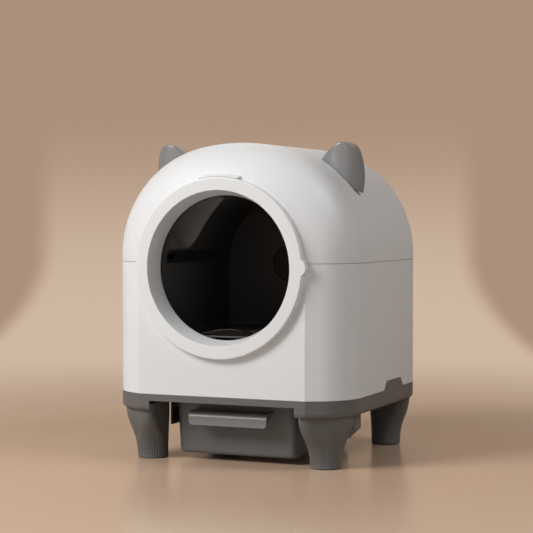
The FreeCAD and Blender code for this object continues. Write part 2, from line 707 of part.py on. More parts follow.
def make_hood():
    body = new_body("hood")
    hood_volume(body, as_size(0), "AdditiveLoft", lambda b, k, n: pad(b, k, n, reverse=True))
    hood_volume(body, s.shell_wall, "SubtractiveLoft", lambda b, k, n: pocket(b, k, n))
    reach = s.body_half_width + MARGIN
    below = trace(sketch_on(body, "XY", s.seam_height + s.seam_gap),
                  box(-reach, -s.front_reach - MARGIN, reach, s.rear_reach + MARGIN))
    pocket(body, below, s.seam_height + s.seam_gap - s.axis_height + MARGIN)
    mouth = disc(sketch_on(body, "XZ", s.front_reach + MARGIN), 0, s.axis_height, panel_opening)
    pocket(body, mouth, MARGIN + s.shell_wall + MARGIN)
    return named(body, "hood")


def make_brow():
    """Arc-shaped cover just above the ring, cut to the slope of the hood."""
    body = new_body("sensor_cover")
    inner = s.ring_outer + s.ring_fit
    outer = inner + s.brow_height
    front_y = -s.front_reach - s.brow_proud
    top_y = -s.front_reach - s.brow_top_proud
    outline = [(front_y, inner), (bend_y, inner), (bend_y, outer), (top_y, outer)]
    revolve(body, trace(sketch_on(body, "YZ", 0, s.axis_height), outline), s.brow_angle, "H_Axis", both=True)
    face = (-s.front_reach, front_half / s.body_half_width, as_size(0))
    corner = hood_stations(as_size(0))[0][0]
    loft(body, "SubtractiveLoft", [arch_sketch(body, *face), arch_sketch(body, *corner)], ruled=True)
    return named(body, "sensor_cover")


def mirrored(stops):
    """The same outline on the other side of the middle, still anticlockwise."""
    flipped = [(-stop[0], stop[1]) for stop in stops][::-1]
    for index, stop in enumerate(stops):
        if len(stop) > 2:
            flipped[len(stops) - 2 - index] += (stop[2], stop[3])
    return flipped


def sided(stops, side):
    return stops if side > 0 else mirrored(stops)


def ear_outline():
    """Ear seen from the front, above the drum axis. Its base runs below the hood's surface."""
    tip_x, tip_z, tip = ear_tip_x, ear_tip_z, s.ear_tip_radius
    inner_x = tip_x + tip * cosine(s.ear_inner_angle)
    inner_z = tip_z + tip * sine(s.ear_inner_angle)
    end_x = inner_x - s.ear_inner_side * sine(s.ear_inner_angle)
    end_z = inner_z + s.ear_inner_side * cosine(s.ear_inner_angle)
    return [(end_x, end_z), (ear_root_x, ear_root_z, s.ear_side_radius, "left"),
            (tip_x + tip * cosine(s.ear_side_angle), tip_z + tip * sine(s.ear_side_angle), tip, "left"),
            (inner_x, inner_z)]


def make_ears():
    """Two upright fins with a bowed front and a base that follows the hood."""
    bow_angle = as_size(60)
    reach, rise = s.ear_bow * sine(bow_angle), s.ear_bow * cosine(bow_angle)
    front, wide = -s.ear_front - MARGIN, s.body_half_width / 2
    bow_x = s.body_half_width - s.ear_bow_inset
    low_x, high_x, bow_y = bow_x - reach, bow_x + reach, s.ear_bow - s.ear_front - rise
    outside = [(low_x - wide, front), (high_x + wide, front), (high_x + wide, bow_y),
               (high_x, bow_y, s.ear_bow, "right"), (low_x, bow_y), (low_x - wide, bow_y)]

    def on_front(edge, at):
        return (at.y < s.ear_depth.value - s.ear_front.value - 2 and edge.Curve.TypeId != "Part::GeomLine"
                and (abs(at.x) > ear_root_x.value or at.z > s.axis_height.value + ear_tip_z.value - 10))

    for name, side in (("ear_right", 1), ("ear_left", -1)):
        body = new_body(name)
        pad(body, trace(sketch_on(body, "XZ", s.ear_front, s.axis_height), sided(ear_outline(), side)),
            s.ear_depth, reverse=True)
        top = sketch_on(body, "XY", s.axis_height + s.hood_rise + s.ear_tip_radius)
        pocket(body, trace(top, sided(outside, side)), s.hood_rise)
        fillet(body, s.ear_edge, on_front)
        seat = trace(sketch_on(body, "XZ", s.ear_front + MARGIN, s.axis_height), arch(as_size(1), 0))
        pocket(body, seat, s.ear_depth + 2 * MARGIN)
        named(body, name)


def make_lower_body():
    body = new_body("lower_body")
    top = s.seam_height + s.lip_height
    lip_inset = s.shell_wall + s.lip_gap
    pad(body, trace(sketch_on(body, "XY", s.shell_bottom), plan(0)), top - s.shell_bottom)
    pocket(body, trace(sketch_on(body, "XY", top), plan(lip_inset + s.lip_wall)), top - s.shell_bottom)
    thin = trace(sketch_on(body, "XY", s.shell_bottom), plan(s.shell_wall))
    pocket(body, thin, s.seam_height - s.lip_root - s.shell_bottom, reverse=True)
    outside = sketch_on(body, "XY", top)
    trace(outside, plan(-MARGIN))
    trace(outside, plan(lip_inset))
    pocket(body, outside, s.lip_height)
    mouth = disc(sketch_on(body, "XZ", s.front_reach + MARGIN), 0, s.axis_height, panel_opening)
    pocket(body, mouth, MARGIN + lip_inset + s.lip_wall + MARGIN)
    rear_frame(body)
    tab = trace(sketch_on(body, "YZ"), tab_outline(s.tab_gap))
    pocket(body, tab, 2 * (s.body_half_width + MARGIN), both=True)
    ring_holes(body, s.front_reach + MARGIN, s.shell_wall + 2 * MARGIN)
    return named(body, "lower_body")


def rear_frame(body):
    """Stepped opening for the rear cover, with its screw holes."""
    ledge, fit = s.cover_ledge, s.cover_fit
    low, high, half = s.cover_bottom - fit, s.cover_top + fit, s.cover_half_width + fit
    inside = s.rear_reach - 2 * s.shell_wall
    frame = sketch_on(body, "XZ", -inside)
    trace(frame, rounded(-half - ledge, low - ledge, half + ledge, high + ledge, s.cover_corner + ledge))
    pad(body, frame, s.shell_wall, reverse=True)
    recess = sketch_on(body, "XZ", -s.rear_reach - MARGIN)
    trace(recess, rounded(-half, low, half, high, s.cover_corner + fit))
    pocket(body, recess, s.shell_wall + MARGIN, reverse=True)
    hole = sketch_on(body, "XZ", -s.rear_reach)
    trace(hole, rounded(-half + ledge, low + ledge, half - ledge, high - ledge, s.cover_corner - ledge / 2))
    pocket(body, hole, 2 * s.shell_wall + MARGIN, reverse=True)
    holes = sketch_on(body, "XZ", -s.rear_reach)
    for x, z in cover_screw_places():
        disc(holes, x, z, screw_hole)
    pocket(body, holes, 2 * s.shell_wall + MARGIN, reverse=True)


def cover_screw_places():
    x = s.cover_half_width - s.cover_screw_inset
    low = s.cover_bottom + s.cover_screw_inset + s.cover_corner
    high = s.cover_top - s.cover_screw_inset - s.cover_corner
    return [(x, low), (x, high), (-x, high), (-x, low)]


def tab_outline(gap):
    """Side tab seen from the side: a low trapezoid that stands on the base frame's edge."""
    gap = as_size(gap)
    low = s.shell_bottom - MARGIN
    high = s.shell_bottom + s.tab_rise + gap
    return [(s.tab_front - gap, low), (s.tab_rear + gap, low), (s.tab_rear - s.tab_slope + gap, high),
            (s.tab_front + s.tab_slope - gap, high)]


def ring_screw_places():
    """Four screws that hold the ring to the lower body."""
    places = []
    for angle in (-25.0, -65.0, -115.0, -155.0):
        places.append((s.ring_screw_radius * cosine(angle), s.axis_height + s.ring_screw_radius * sine(angle)))
    return places


def ring_holes(body, start, depth):
    sketch = sketch_on(body, "XZ", start)
    for x, z in ring_screw_places():
        disc(sketch, x, z, screw_hole)
    pocket(body, sketch, depth)


def make_front_ring():
    body = new_body("front_ring")
    face, edge, mouth = ring_face_y, s.ring_edge, s.ring_mouth_edge
    panel = -s.front_reach
    outline = [(s.ring_inner + mouth, face), (s.ring_outer - edge, face, edge, "left"),
               (s.ring_outer, face + edge), (s.ring_outer, panel), (s.ring_outer - s.ring_wall, panel),
               (s.ring_outer - s.ring_wall, face + s.ring_wall), (s.neck_radius, face + s.ring_wall),
               (s.neck_radius, face + s.neck_depth), (lip_radius, face + s.lip_depth),
               (lip_radius, face + s.ring_depth), (s.throat_radius, face + s.ring_depth),
               (s.ring_inner, face + mouth, mouth, "left")]
    revolve(body, trace(sketch_on(body, "XY", s.axis_height), outline))
    lug = sketch_on(body, "XZ", -face)
    root = s.ring_outer - 2 * s.ring_wall
    middle = s.axis_height + s.lug_lift
    shoulder = s.ring_outer - s.lug_sink
    trace(lug, [(root, middle - s.lug_half_height),
                (shoulder, middle - s.lug_half_height, s.lug_radius, "left"),
                (shoulder, middle + s.lug_half_height), (root, middle + s.lug_half_height)])
    pad(body, lug, s.ring_proud, reverse=True)
    fillet(body, s.lug_edge, lambda edge, at: at.x > s.ring_outer.value and abs(at.y - face.value) < 0.01)
    bosses = sketch_on(body, "XZ", -face - s.ring_wall)
    for x, z in ring_screw_places():
        disc(bosses, x, z, s.boss_radius)
    pad(body, bosses, s.ring_proud - s.ring_wall, reverse=True)
    holes = sketch_on(body, "XZ", s.front_reach)
    for x, z in ring_screw_places():
        disc(holes, x, z, screw_hole)
    pocket(body, holes, s.screw_length, reverse=True)
    seat = trace(sketch_on(body, "XZ", -face), led_outline())
    pocket(body, seat, s.led_depth)
    return named(body, "front_ring")


def led_outline():
    x = s.ring_outer - s.led_in_from_edge
    z = s.axis_height + s.led_lift
    return rounded(x - s.led_half_width, z - s.led_half_height, x + s.led_half_width, z + s.led_half_height,
                   s.led_half_height * 0.9)


def make_status_led():
    body = new_body("status_led")
    pad(body, trace(sketch_on(body, "XZ", -ring_face_y), led_outline()), s.led_depth, reverse=True)
    return named(body, "status_led")


def make_collar_seal():
    body = new_body("collar_seal")
    front_y = ring_face_y + s.lip_depth + 1.5
    rear_y = ring_face_y + s.ring_depth - 1.5
    revolve(body, trace(sketch_on(body, "XY", s.axis_height),
                        box(lip_radius, front_y, collar_inner - s.seal_gap, rear_y)))
    return named(body, "collar_seal")


def make_base_frame():
    body = new_body("base_frame")
    pad(body, trace(sketch_on(body, "XY", s.skirt_bottom), plan(0)), s.shell_bottom - s.skirt_bottom)
    fillet(body, s.base_round, lambda edge, at: abs(at.z - s.skirt_bottom.value) < 0.01)
    under = trace(sketch_on(body, "XY", s.skirt_bottom), plan(s.skirt_wall))
    pocket(body, under, s.plate_bottom - s.skirt_bottom, reverse=True)
    over = trace(sketch_on(body, "XY", s.shell_bottom), plan(s.skirt_wall))
    pocket(body, over, s.shell_bottom - s.plate_top)
    front = trace(sketch_on(body, "XZ", s.front_reach + MARGIN),
                  box(-cutout_half, s.skirt_bottom - MARGIN, cutout_half, s.plate_bottom))
    pocket(body, front, s.skirt_wall + 2 * MARGIN)
    fillet(body, s.cutout_corner, lambda edge, at: abs(at.z - s.skirt_bottom.value) < s.base_round.value
           and abs(abs(at.x) - cutout_half.value) < 0.01 and at.y < -s.front_reach.value + s.skirt_wall.value)
    hole = sketch_on(body, "XY", s.plate_top + MARGIN)
    half_x, half_y = s.chute_neck_half_width + s.chute_wall + 1, s.chute_neck_half_depth + s.chute_wall + 1
    trace(hole, rounded(-half_x, s.chute_centre - half_y, half_x, s.chute_centre + half_y, s.chute_wall * 2))
    pocket(body, hole, s.plate_top - s.plate_bottom + 2 * MARGIN)
    for side in (1, -1):
        start = s.body_half_width - s.shell_wall if side > 0 else -s.body_half_width
        pad(body, trace(sketch_on(body, "YZ", start), tab_outline(0)), s.shell_wall)
    holes = sketch_on(body, "XY", s.plate_top + MARGIN)
    for x, y in bracket_screw_places() + cell_screw_places():
        disc(holes, x, y, screw_hole)
    pocket(body, holes, s.plate_top - s.plate_bottom + 2 * MARGIN)
    return named(body, "base_frame")


def cell_screw_places():
    places = []
    for x, y in leg_places().values():
        places += [(x, y - s.leg_screw_spread), (x, y + s.leg_screw_spread)]
    return places


def bracket_screw_places():
    y = -s.drum_front - s.drum_wall - s.rim_length - MARGIN + s.bracket_foot / 2
    spread = s.bracket_half_width * 0.55
    places = []
    for side in (1, -1):
        places += [(roller_x * side - spread, y), (roller_x * side + spread, y)]
    return places


def leg_places():
    return {"front_right": (leg_x, -leg_front_y), "front_left": (-leg_x, -leg_front_y),
            "rear_right": (leg_x, leg_rear_y), "rear_left": (-leg_x, leg_rear_y)}


def leg_stations():
    """Rows of (height, spread): a circle at the floor that spreads into the corner of the base."""
    return [(s.leg_bottom, as_size(0)), (s.leg_low_height, s.leg_low_spread),
            (s.leg_mid_height, s.leg_mid_spread), (s.leg_high_height, s.leg_high_spread),
            (s.leg_full_height, as_size(1))]


def turned_corner(x, y, heading, turn, radius):
    """Start, end and centre of the arc that rounds a corner where the outline turns left."""
    reach = radius * tangent(turn / 2)
    start = (x - reach * cosine(heading), y - reach * sine(heading))
    end = (x + reach * cosine(heading + turn), y + reach * sine(heading + turn))
    centre = (start[0] - radius * sine(heading), start[1] + radius * cosine(heading))
    return start, end, centre, radius


def front_leg_corners(spread):
    """Five corners of a right front leg's section, relative to the leg centre, anticlockwise from the inner
    front one. The outer front corner is cut off along the body's corner flat."""
    def grown(low, high):
        return low + (high - low) * spread

    foot, turn = s.foot_radius, s.corner_angle
    front = grown(foot, s.leg_front_inset - s.leg_skirt_gap)
    side = grown(foot, s.leg_side_inset - s.leg_skirt_gap)
    flat_at = ((front_half - leg_x) * sine(turn) + s.leg_front_inset * cosine(turn) - s.leg_skirt_gap)
    flat = grown(foot, flat_at)
    inner = foot + s.leg_flare_in * spread
    bend_at = (flat - front * cosine(turn)) / sine(turn)
    side_at = -(flat - side * sine(turn)) / cosine(turn)
    zero, square, round_foot = as_size(0), as_size(90), s.leg_foot_corner
    return [turned_corner(-inner, -front, -square, square, grown(round_foot, s.leg_inner_corner)),
            turned_corner(bend_at, -front, zero, turn, grown(round_foot, s.leg_bend_corner)),
            turned_corner(side, side_at, turn, square - turn, grown(round_foot, s.leg_outer_corner)),
            turned_corner(side, foot, square, square, grown(round_foot, s.leg_side_corner)),
            turned_corner(-inner, foot, 2 * square, square, round_foot)]


def front_leg_outline(spread):
    stops = []
    for start, end, _, radius in front_leg_corners(spread):
        stops.append((leg_x + start[0], start[1] - leg_front_y, radius, "left"))
        stops.append((leg_x + end[0], end[1] - leg_front_y))
    return stops


def rear_leg_outline(spread):
    foot, inner = s.foot_radius, s.leg_rear_flare_in * spread
    side = foot + (s.leg_side_inset - s.leg_skirt_gap - foot) * spread
    back = foot + (s.leg_rear_inset - s.leg_skirt_gap - foot) * spread
    small = s.leg_foot_corner + (s.leg_side_corner - s.leg_foot_corner) * spread
    outer = s.leg_foot_corner + (s.leg_rear_corner - s.leg_foot_corner) * spread
    return rounded(leg_x - foot - inner, leg_rear_y - foot - inner, leg_x + side, leg_rear_y + back,
                   [small, small, outer, small])


def add_heel(body):
    """Step behind a front leg's outer half, with a slanted underside."""
    def section(height, width, depth):
        return trace(sketch_on(body, "XY", height),
                     rounded(leg_x - s.heel_inner, s.heel_front - leg_front_y, leg_x + width,
                             depth - leg_front_y, s.heel_corner))

    start = section(s.heel_start, s.heel_start_width, s.heel_start_depth)
    loft(body, "AdditiveLoft", [start, section(s.heel_full, s.heel_width, s.heel_depth)], ruled=True)
    pad(body, section(s.heel_full, s.heel_width, s.heel_depth), s.leg_top - s.heel_full)


def cut_flutes(body):
    """Fan of shallow flutes on the front of a front leg, which run out where the leg flares."""
    share = (s.flute_bottom - s.leg_bottom) / (s.leg_low_height - s.leg_bottom)
    rows = [(s.flute_bottom, s.leg_low_spread * share, s.flute_radius, s.flute_depth),
            (s.leg_low_height, s.leg_low_spread, s.flute_radius, s.flute_depth),
            (s.leg_mid_height, s.leg_mid_spread, s.flute_mid_radius, s.flute_mid_depth),
            (s.leg_high_height, s.leg_high_spread, s.flute_end_radius, -s.flute_end_rise)]
    count = int(s.flute_count.value)
    sketches = []
    for height, spread, radius, depth in rows:
        corners = front_leg_corners(spread)
        sketch = sketch_on(body, "XY", height)
        for number in range(count):
            angle = s.flute_step * (number - (count - 1) / 2) + s.flute_turn
            index = 0 if angle.value < 0 else 1 if angle.value < s.corner_angle.value else 2
            _, _, centre, corner = corners[index]
            reach = corner + radius - depth
            disc(sketch, leg_x + centre[0] + reach * sine(angle),
                 centre[1] - reach * cosine(angle) - leg_front_y, radius)
        sketches.append(sketch)
    loft(body, "SubtractiveLoft", sketches)


def make_legs(row):
    """A right leg, its mirrored twin on the left, and a foot pad and load cell for each."""
    right, left = "leg_%s_right" % row, "leg_%s_left" % row
    body = new_body(right)
    outline = front_leg_outline if row == "front" else rear_leg_outline
    sketches = [trace(sketch_on(body, "XY", height), outline(spread)) for height, spread in leg_stations()]
    loft(body, "AdditiveLoft", sketches)
    pad(body, trace(sketch_on(body, "XY", s.leg_full_height), outline(as_size(1))), s.leg_top - s.leg_full_height)
    if row == "front":
        add_heel(body)
        cut_flutes(body)
    x, y = leg_places()["%s_right" % row]
    seat = disc(sketch_on(body, "XY", s.leg_bottom), x, y, s.pad_radius + s.pad_fit)
    pocket(body, seat, s.pad_height - s.leg_bottom, reverse=True)
    holes = sketch_on(body, "XY", s.leg_top)
    for spot in ((x, y - s.leg_screw_spread), (x, y + s.leg_screw_spread)):
        disc(holes, spot[0], spot[1], screw_hole)
    pocket(body, holes, s.leg_screw_length)
    twin = DOC.addObject("Part::Mirroring", left)
    twin.Source = named(body, right)
    twin.Normal = Vector(1, 0, 0)
    named(twin, left)
    for name in ("%s_left" % row, "%s_right" % row):
        x, y = leg_places()[name]
        named(cylinder("foot_pad_" + name, s.pad_radius, s.pad_height, x, y, 0), "foot_pad_" + name)
        make_load_cell(name, x, y)


def make_load_cell(name, x, y):
    """Bending beam between a leg and the base plate, weakened in the middle by two cross holes."""
    cell = new_body("load_cell_" + name)
    bar = box(x - s.cell_width / 2, y - s.cell_length / 2, x + s.cell_width / 2, y + s.cell_length / 2)
    pad(cell, trace(sketch_on(cell, "XY", s.leg_top), bar), s.plate_bottom - s.leg_top)
    gap = sketch_on(cell, "YZ", x - s.cell_width / 2 - MARGIN)
    middle = (s.leg_top + s.plate_bottom) / 2
    disc(gap, y - s.cell_width / 4, middle, s.cell_width / 6)
    disc(gap, y + s.cell_width / 4, middle, s.cell_width / 6)
    pocket(cell, gap, s.cell_width + 2 * MARGIN, reverse=True)
    drilled = sketch_on(cell, "XY", s.plate_bottom)
    for spot in ((x, y - s.leg_screw_spread), (x, y + s.leg_screw_spread)):
        disc(drilled, spot[0], spot[1], screw_hole)
    pocket(cell, drilled, s.plate_bottom - s.leg_top)
    named(cell, "load_cell_" + name)


def chamber(inset):
    """Chamber outline seen from the front, relative to the drum axis: arched ceiling and flat floor."""
    half = s.chamber_half_width + inset
    floor = -s.chamber_floor - inset
    corner = s.chamber_corner + inset
    return [(-half + corner, floor), (half - corner, floor, corner, "left"), (half, floor + corner),
            (half, 0, half, "left"), (0, half, half, "left"), (-half, 0),
            (-half, floor + corner, corner, "left")]


def port_sketch(body, distance, extra):
    """Waste port drawn square to its own direction, at a distance from the drum axis."""
    sketch = sketch_on(body, "XY")
    sketch.AttachmentOffset = Placement(Vector(), Rotation(Vector(0, 1, 0), 90 - s.port_angle.value))
    sketch.setExpression("AttachmentOffset.Base.x", (distance * cosine(s.port_angle)).formula)
    sketch.setExpression("AttachmentOffset.Base.z", (s.axis_height + distance * sine(s.port_angle)).formula)
    sketch.setExpression("AttachmentOffset.Rotation.Angle", (90 - s.port_angle).formula)
    half = s.port_width / 2 + extra
    radii = [s.port_front_corner + extra, s.port_front_corner + extra, s.port_upper_corner + extra,
             s.port_lower_corner + extra]
    return trace(sketch, rounded(-half, -s.port_front - extra, half, extra - s.port_rear, radii))


def cut_port(body, low, high):
    pocket(body, port_sketch(body, low, as_size(0)), high - low, reverse=True)


def make_drum_shell():
    body = new_body("drum_shell")
    bore = s.axle_radius + s.axle_fit
    outline = [(bore, liner_back_y), (shell_inner, liner_back_y), (shell_inner, -s.drum_front),
               (s.drum_radius, -s.drum_front), (s.drum_radius, drum_back_y), (bore, drum_back_y)]
    revolve(body, trace(sketch_on(body, "XY", s.axis_height), outline))
    cut_port(body, s.chamber_half_width, s.drum_radius + 10)
    return named(body, "drum_shell")


def make_drum_liner():
    body = new_body("drum_liner")
    outer = trace(sketch_on(body, "XZ", s.drum_front, s.axis_height), chamber(s.drum_wall))
    pad(body, outer, s.drum_front + liner_back_y, reverse=True)
    inner = trace(sketch_on(body, "XZ", s.drum_front, s.axis_height), chamber(as_size(0)))
    pocket(body, inner, s.drum_front + s.chamber_back)
    cut_port(body, s.chamber_half_width * 0.75, s.drum_radius)
    window = trace(sketch_on(body, "XZ", s.sieve_front, s.axis_height), sieve_box())
    pocket(body, window, s.sieve_front + s.sieve_rear)
    bore = disc(sketch_on(body, "XZ", -liner_back_y - MARGIN), 0, s.axis_height, s.axle_radius + s.axle_fit)
    pocket(body, bore, s.drum_wall + 2 * MARGIN, reverse=True)
    return named(body, "drum_liner")


def sieve_box():
    """The strip of the left wall that the sieve fills, seen from the front."""
    inner = s.chamber_half_width * 0.9
    outer = s.chamber_half_width + s.drum_wall + MARGIN
    return box(-outer, s.sieve_bottom, -inner, s.sieve_top)


def make_sieve():
    """Slotted strip of the left chamber wall: one long slot in front and a row of narrow ones."""
    body = new_body("sieve_grille")
    outer = trace(sketch_on(body, "XZ", s.sieve_front, s.axis_height), chamber(s.drum_wall))
    pad(body, outer, s.sieve_front + s.sieve_rear, reverse=True)
    inner = trace(sketch_on(body, "XZ", s.sieve_front, s.axis_height), chamber(as_size(0)))
    pocket(body, inner, s.sieve_front + s.sieve_rear)
    reach = s.chamber_half_width + s.drum_wall + 2 * MARGIN
    keep = s.chamber_half_width * 0.9
    around = sketch_on(body, "XZ", s.sieve_front + MARGIN, s.axis_height)
    trace(around, box(-reach, s.sieve_top, reach, reach))
    pocket(body, around, s.sieve_front + s.sieve_rear + 2 * MARGIN)
    below = sketch_on(body, "XZ", s.sieve_front + MARGIN, s.axis_height)
    trace(below, box(-reach, -reach, reach, s.sieve_bottom))
    pocket(body, below, s.sieve_front + s.sieve_rear + 2 * MARGIN)
    right = sketch_on(body, "XZ", s.sieve_front + MARGIN, s.axis_height)
    trace(right, box(-keep, s.sieve_bottom - MARGIN, reach, s.sieve_top + MARGIN))
    pocket(body, right, s.sieve_front + s.sieve_rear + 2 * MARGIN)
    slots = sketch_on(body, "YZ", -reach, s.axis_height)
    end = -s.sieve_front + 3 + s.first_slot_width
    trace(slots, box(-s.sieve_front + 3, s.slot_bottom, end, s.slot_bottom + s.slot_height))
    for index in range(int(s.slot_count.value)):
        start = end + s.slot_pitch - s.slot_width + s.slot_pitch * index
        trace(slots, box(start, s.slot_bottom, start + s.slot_width, s.slot_bottom + s.slot_height))
    pocket(body, slots, reach, reverse=True)
    return named(body, "sieve_grille")


def make_port_duct():
    """Rounded tube that leads from the port in the liner to the port in the shell."""
    body = new_body("port_duct")
    low, high = s.chamber_half_width * 0.7, s.drum_radius + 10
    pad(body, port_sketch(body, low, s.duct_wall), high - low)
    pocket(body, port_sketch(body, low - MARGIN, as_size(0)), high - low + 2 * MARGIN, reverse=True)
    front, length = s.port_front + s.duct_wall + MARGIN, s.port_front - s.port_rear + 2 * (s.duct_wall + MARGIN)
    core = disc(sketch_on(body, "XZ", front, s.axis_height), 0, 0, s.chamber_half_width + s.drum_wall)
    pocket(body, core, length)
    outside = disc(sketch_on(body, "XZ", front, s.axis_height), 0, 0, shell_inner)
    disc(outside, 0, 0, s.drum_radius * 1.4)
    pocket(body, outside, length)
    return named(body, "port_duct")


def make_drum_front():
    """Plate that closes the drum around the entrance, with the collar and the running rim."""
    body = new_body("drum_front")
    back, front = -s.drum_front, plate_front_y
    outline = [(collar_inner, front - s.collar_length), (collar_outer, front - s.collar_length),
               (collar_outer, front), (s.rim_radius - s.rim_wall, front),
               (s.rim_radius - s.rim_wall, front - s.rim_length), (s.rim_radius, front - s.rim_length),
               (s.rim_radius, front), (s.drum_radius, front), (s.drum_radius, back), (collar_inner, back)]
    revolve(body, trace(sketch_on(body, "XY", s.axis_height), outline))
    return named(body, "drum_front")


def make_entry_sill():
    body = new_body("entry_sill")
    floor = -s.chamber_floor
    half, rise = s.sill_half_width, s.sill_rise
    bow = (half * half + rise * rise) / (2 * rise)
    sketch = sketch_on(body, "XZ", s.drum_front - 2, s.axis_height)
    trace(sketch, [(-half, floor), (half, floor, bow, "left")])
    pad(body, sketch, s.sill_depth, reverse=True)
    return named(body, "entry_sill")


def gear_outline(teeth, phase, flank_points):
    """Corner points of an involute gear about the origin, with one tooth centred on the phase angle."""
    module = s.gear_module.value
    pitch = module * teeth / 2
    pressure = math.radians(20)
    base = pitch * math.cos(pressure)
    tip, root = pitch + module, pitch - 1.25 * module
    half_tooth = (math.pi * module / 2 - s.gear_backlash.value) / (2 * pitch)

    def roll(radius):
        if radius <= base:
            return 0.0
        angle = math.acos(base / radius)
        return math.tan(angle) - angle

    flank = []
    for step in range(flank_points):
        radius = root + (tip - root) * step / (flank_points - 1)
        flank.append((radius, half_tooth + roll(pitch) - roll(radius)))
    points = []
    for tooth in range(teeth):
        middle = phase + 2 * math.pi * tooth / teeth
        for radius, half in flank:
            points.append((radius, middle - half))
        for radius, half in flank[::-1]:
            points.append((radius, middle + half))
    return [(radius * math.cos(angle), radius * math.sin(angle)) for radius, angle in points]


def gear_solid(name, outline, bore, x, z, front_y, width):
    """Extrude a gear outline along the drum axis and leave its bore open."""
    corners = [Vector(x + px, front_y, z + pz) for px, pz in outline]
    face = Part.Face(Part.makePolygon(corners + corners[:1]))
    solid = face.extrude(Vector(0, width, 0))
    hole = Part.makeCylinder(bore, width + 2, Vector(x, front_y - 1, z), Vector(0, 1, 0))
    item = DOC.addObject("Part::Feature", name)
    item.Shape = solid.cut(hole)
    return item


def make_gears():
    """Ring gear on the drum and the pinion that meshes with it."""
    front_y = s.gear_rear.value - s.gear_width.value
    towards = math.radians(s.drive_angle.value)
    teeth, small = int(s.gear_teeth.value), int(s.pinion_teeth.value)
    ring = gear_outline(teeth, towards, 2)
    named(gear_solid("drum_gear", ring, s.drum_radius.value, 0, s.axis_height.value, front_y, s.gear_width.value),
          "drum_gear")
    # The pinion shows a gap where the ring gear shows a tooth
    phase = towards + math.pi + math.pi / small
    pinion = gear_outline(small, phase, 4)
    named(gear_solid("drive_pinion", pinion, s.shaft_radius.value + s.axle_fit.value, drive_x.value,
                     drive_z.value, front_y, s.gear_width.value), "drive_pinion")


def make_axle():
    body = new_body("drum_axle")
    front_y = s.chamber_back - s.hub_height / 2
    outline = [(0, front_y), (s.axle_radius, front_y), (s.axle_radius, drum_back_y),
               (s.flange_radius, drum_back_y), (s.flange_radius, drum_back_y + s.flange_height),
               (s.axle_radius, drum_back_y + s.flange_height), (s.axle_radius, s.axle_rear), (0, s.axle_rear)]
    revolve(body, trace(sketch_on(body, "XY", s.axis_height), outline))
    named(body, "drum_axle")
    cap = new_body("hub_cap")
    top = s.chamber_back - s.hub_height
    bore = s.axle_radius + s.axle_fit
    outline = [(0, top), (s.hub_radius - 2, top), (s.hub_radius, top + 2), (s.hub_radius, s.chamber_back),
               (bore, s.chamber_back), (bore, s.chamber_back - s.hub_height / 2),
               (0, s.chamber_back - s.hub_height / 2)]
    revolve(cap, trace(sketch_on(cap, "XY", s.axis_height), outline))
    named(cap, "hub_cap")
    clip = new_body("axle_clip")
    clip_y = s.bulkhead_front + s.bush_length + 0.5
    revolve(clip, trace(sketch_on(clip, "XY", s.axis_height),
                        box(s.axle_radius, clip_y, s.clip_radius, clip_y + s.clip_height)))
    named(clip, "axle_clip")


def make_bush():
    body = new_body("axle_bush")
    bore = s.axle_radius + s.axle_fit
    front, rear = s.bulkhead_front - s.bush_flange_height, s.bulkhead_front + s.bush_length
    outline = [(bore, front), (s.bush_flange, front), (s.bush_flange, s.bulkhead_front),
               (s.bush_radius, s.bulkhead_front), (s.bush_radius, rear), (bore, rear)]
    revolve(body, trace(sketch_on(body, "XY", s.axis_height), outline))
    return named(body, "axle_bush")


def make_bulkhead():
    """Upright plate behind the drum that carries axle, motor and electronics."""
    body = new_body("bulkhead")
    half, top_half = bulkhead_half, s.bulkhead_top_half
    outline = [(-half, s.plate_top), (half, s.plate_top), (half, s.bulkhead_shoulder),
               (top_half, s.bulkhead_top), (-top_half, s.bulkhead_top), (-half, s.bulkhead_shoulder)]
    pad(body, trace(sketch_on(body, "XZ", -s.bulkhead_front), outline), s.bulkhead_wall, reverse=True)
    holes = disc(sketch_on(body, "XZ", -s.bulkhead_front + MARGIN), 0, s.axis_height, s.bush_radius)
    disc(holes, drive_x, drive_z, s.shaft_radius * 2)
    for x, z in motor_screw_places():
        disc(holes, x, z, screw_hole)
    pocket(body, holes, s.bulkhead_wall + 2 * MARGIN)
    foot = trace(sketch_on(body, "XY", s.plate_top), box(-half, bulkhead_rear_y, half, bulkhead_rear_y + 14))
    pad(body, foot, s.bulkhead_wall)
    for x in (-half, half - s.bulkhead_wall, -top_half, top_half - s.bulkhead_wall):
        rib = sketch_on(body, "YZ", x)
        trace(rib, [(bulkhead_rear_y, s.plate_top), (bulkhead_rear_y + 14, s.plate_top),
                    (bulkhead_rear_y, s.bulkhead_shoulder - 60)])
        pad(body, rib, s.bulkhead_wall)
    return named(body, "bulkhead")


def motor_screw_places():
    places = []
    for angle in (90.0, 210.0, 330.0):
        places.append((drive_x + s.motor_screw_radius * cosine(angle), drive_z + s.motor_screw_radius * sine(angle)))
    return places


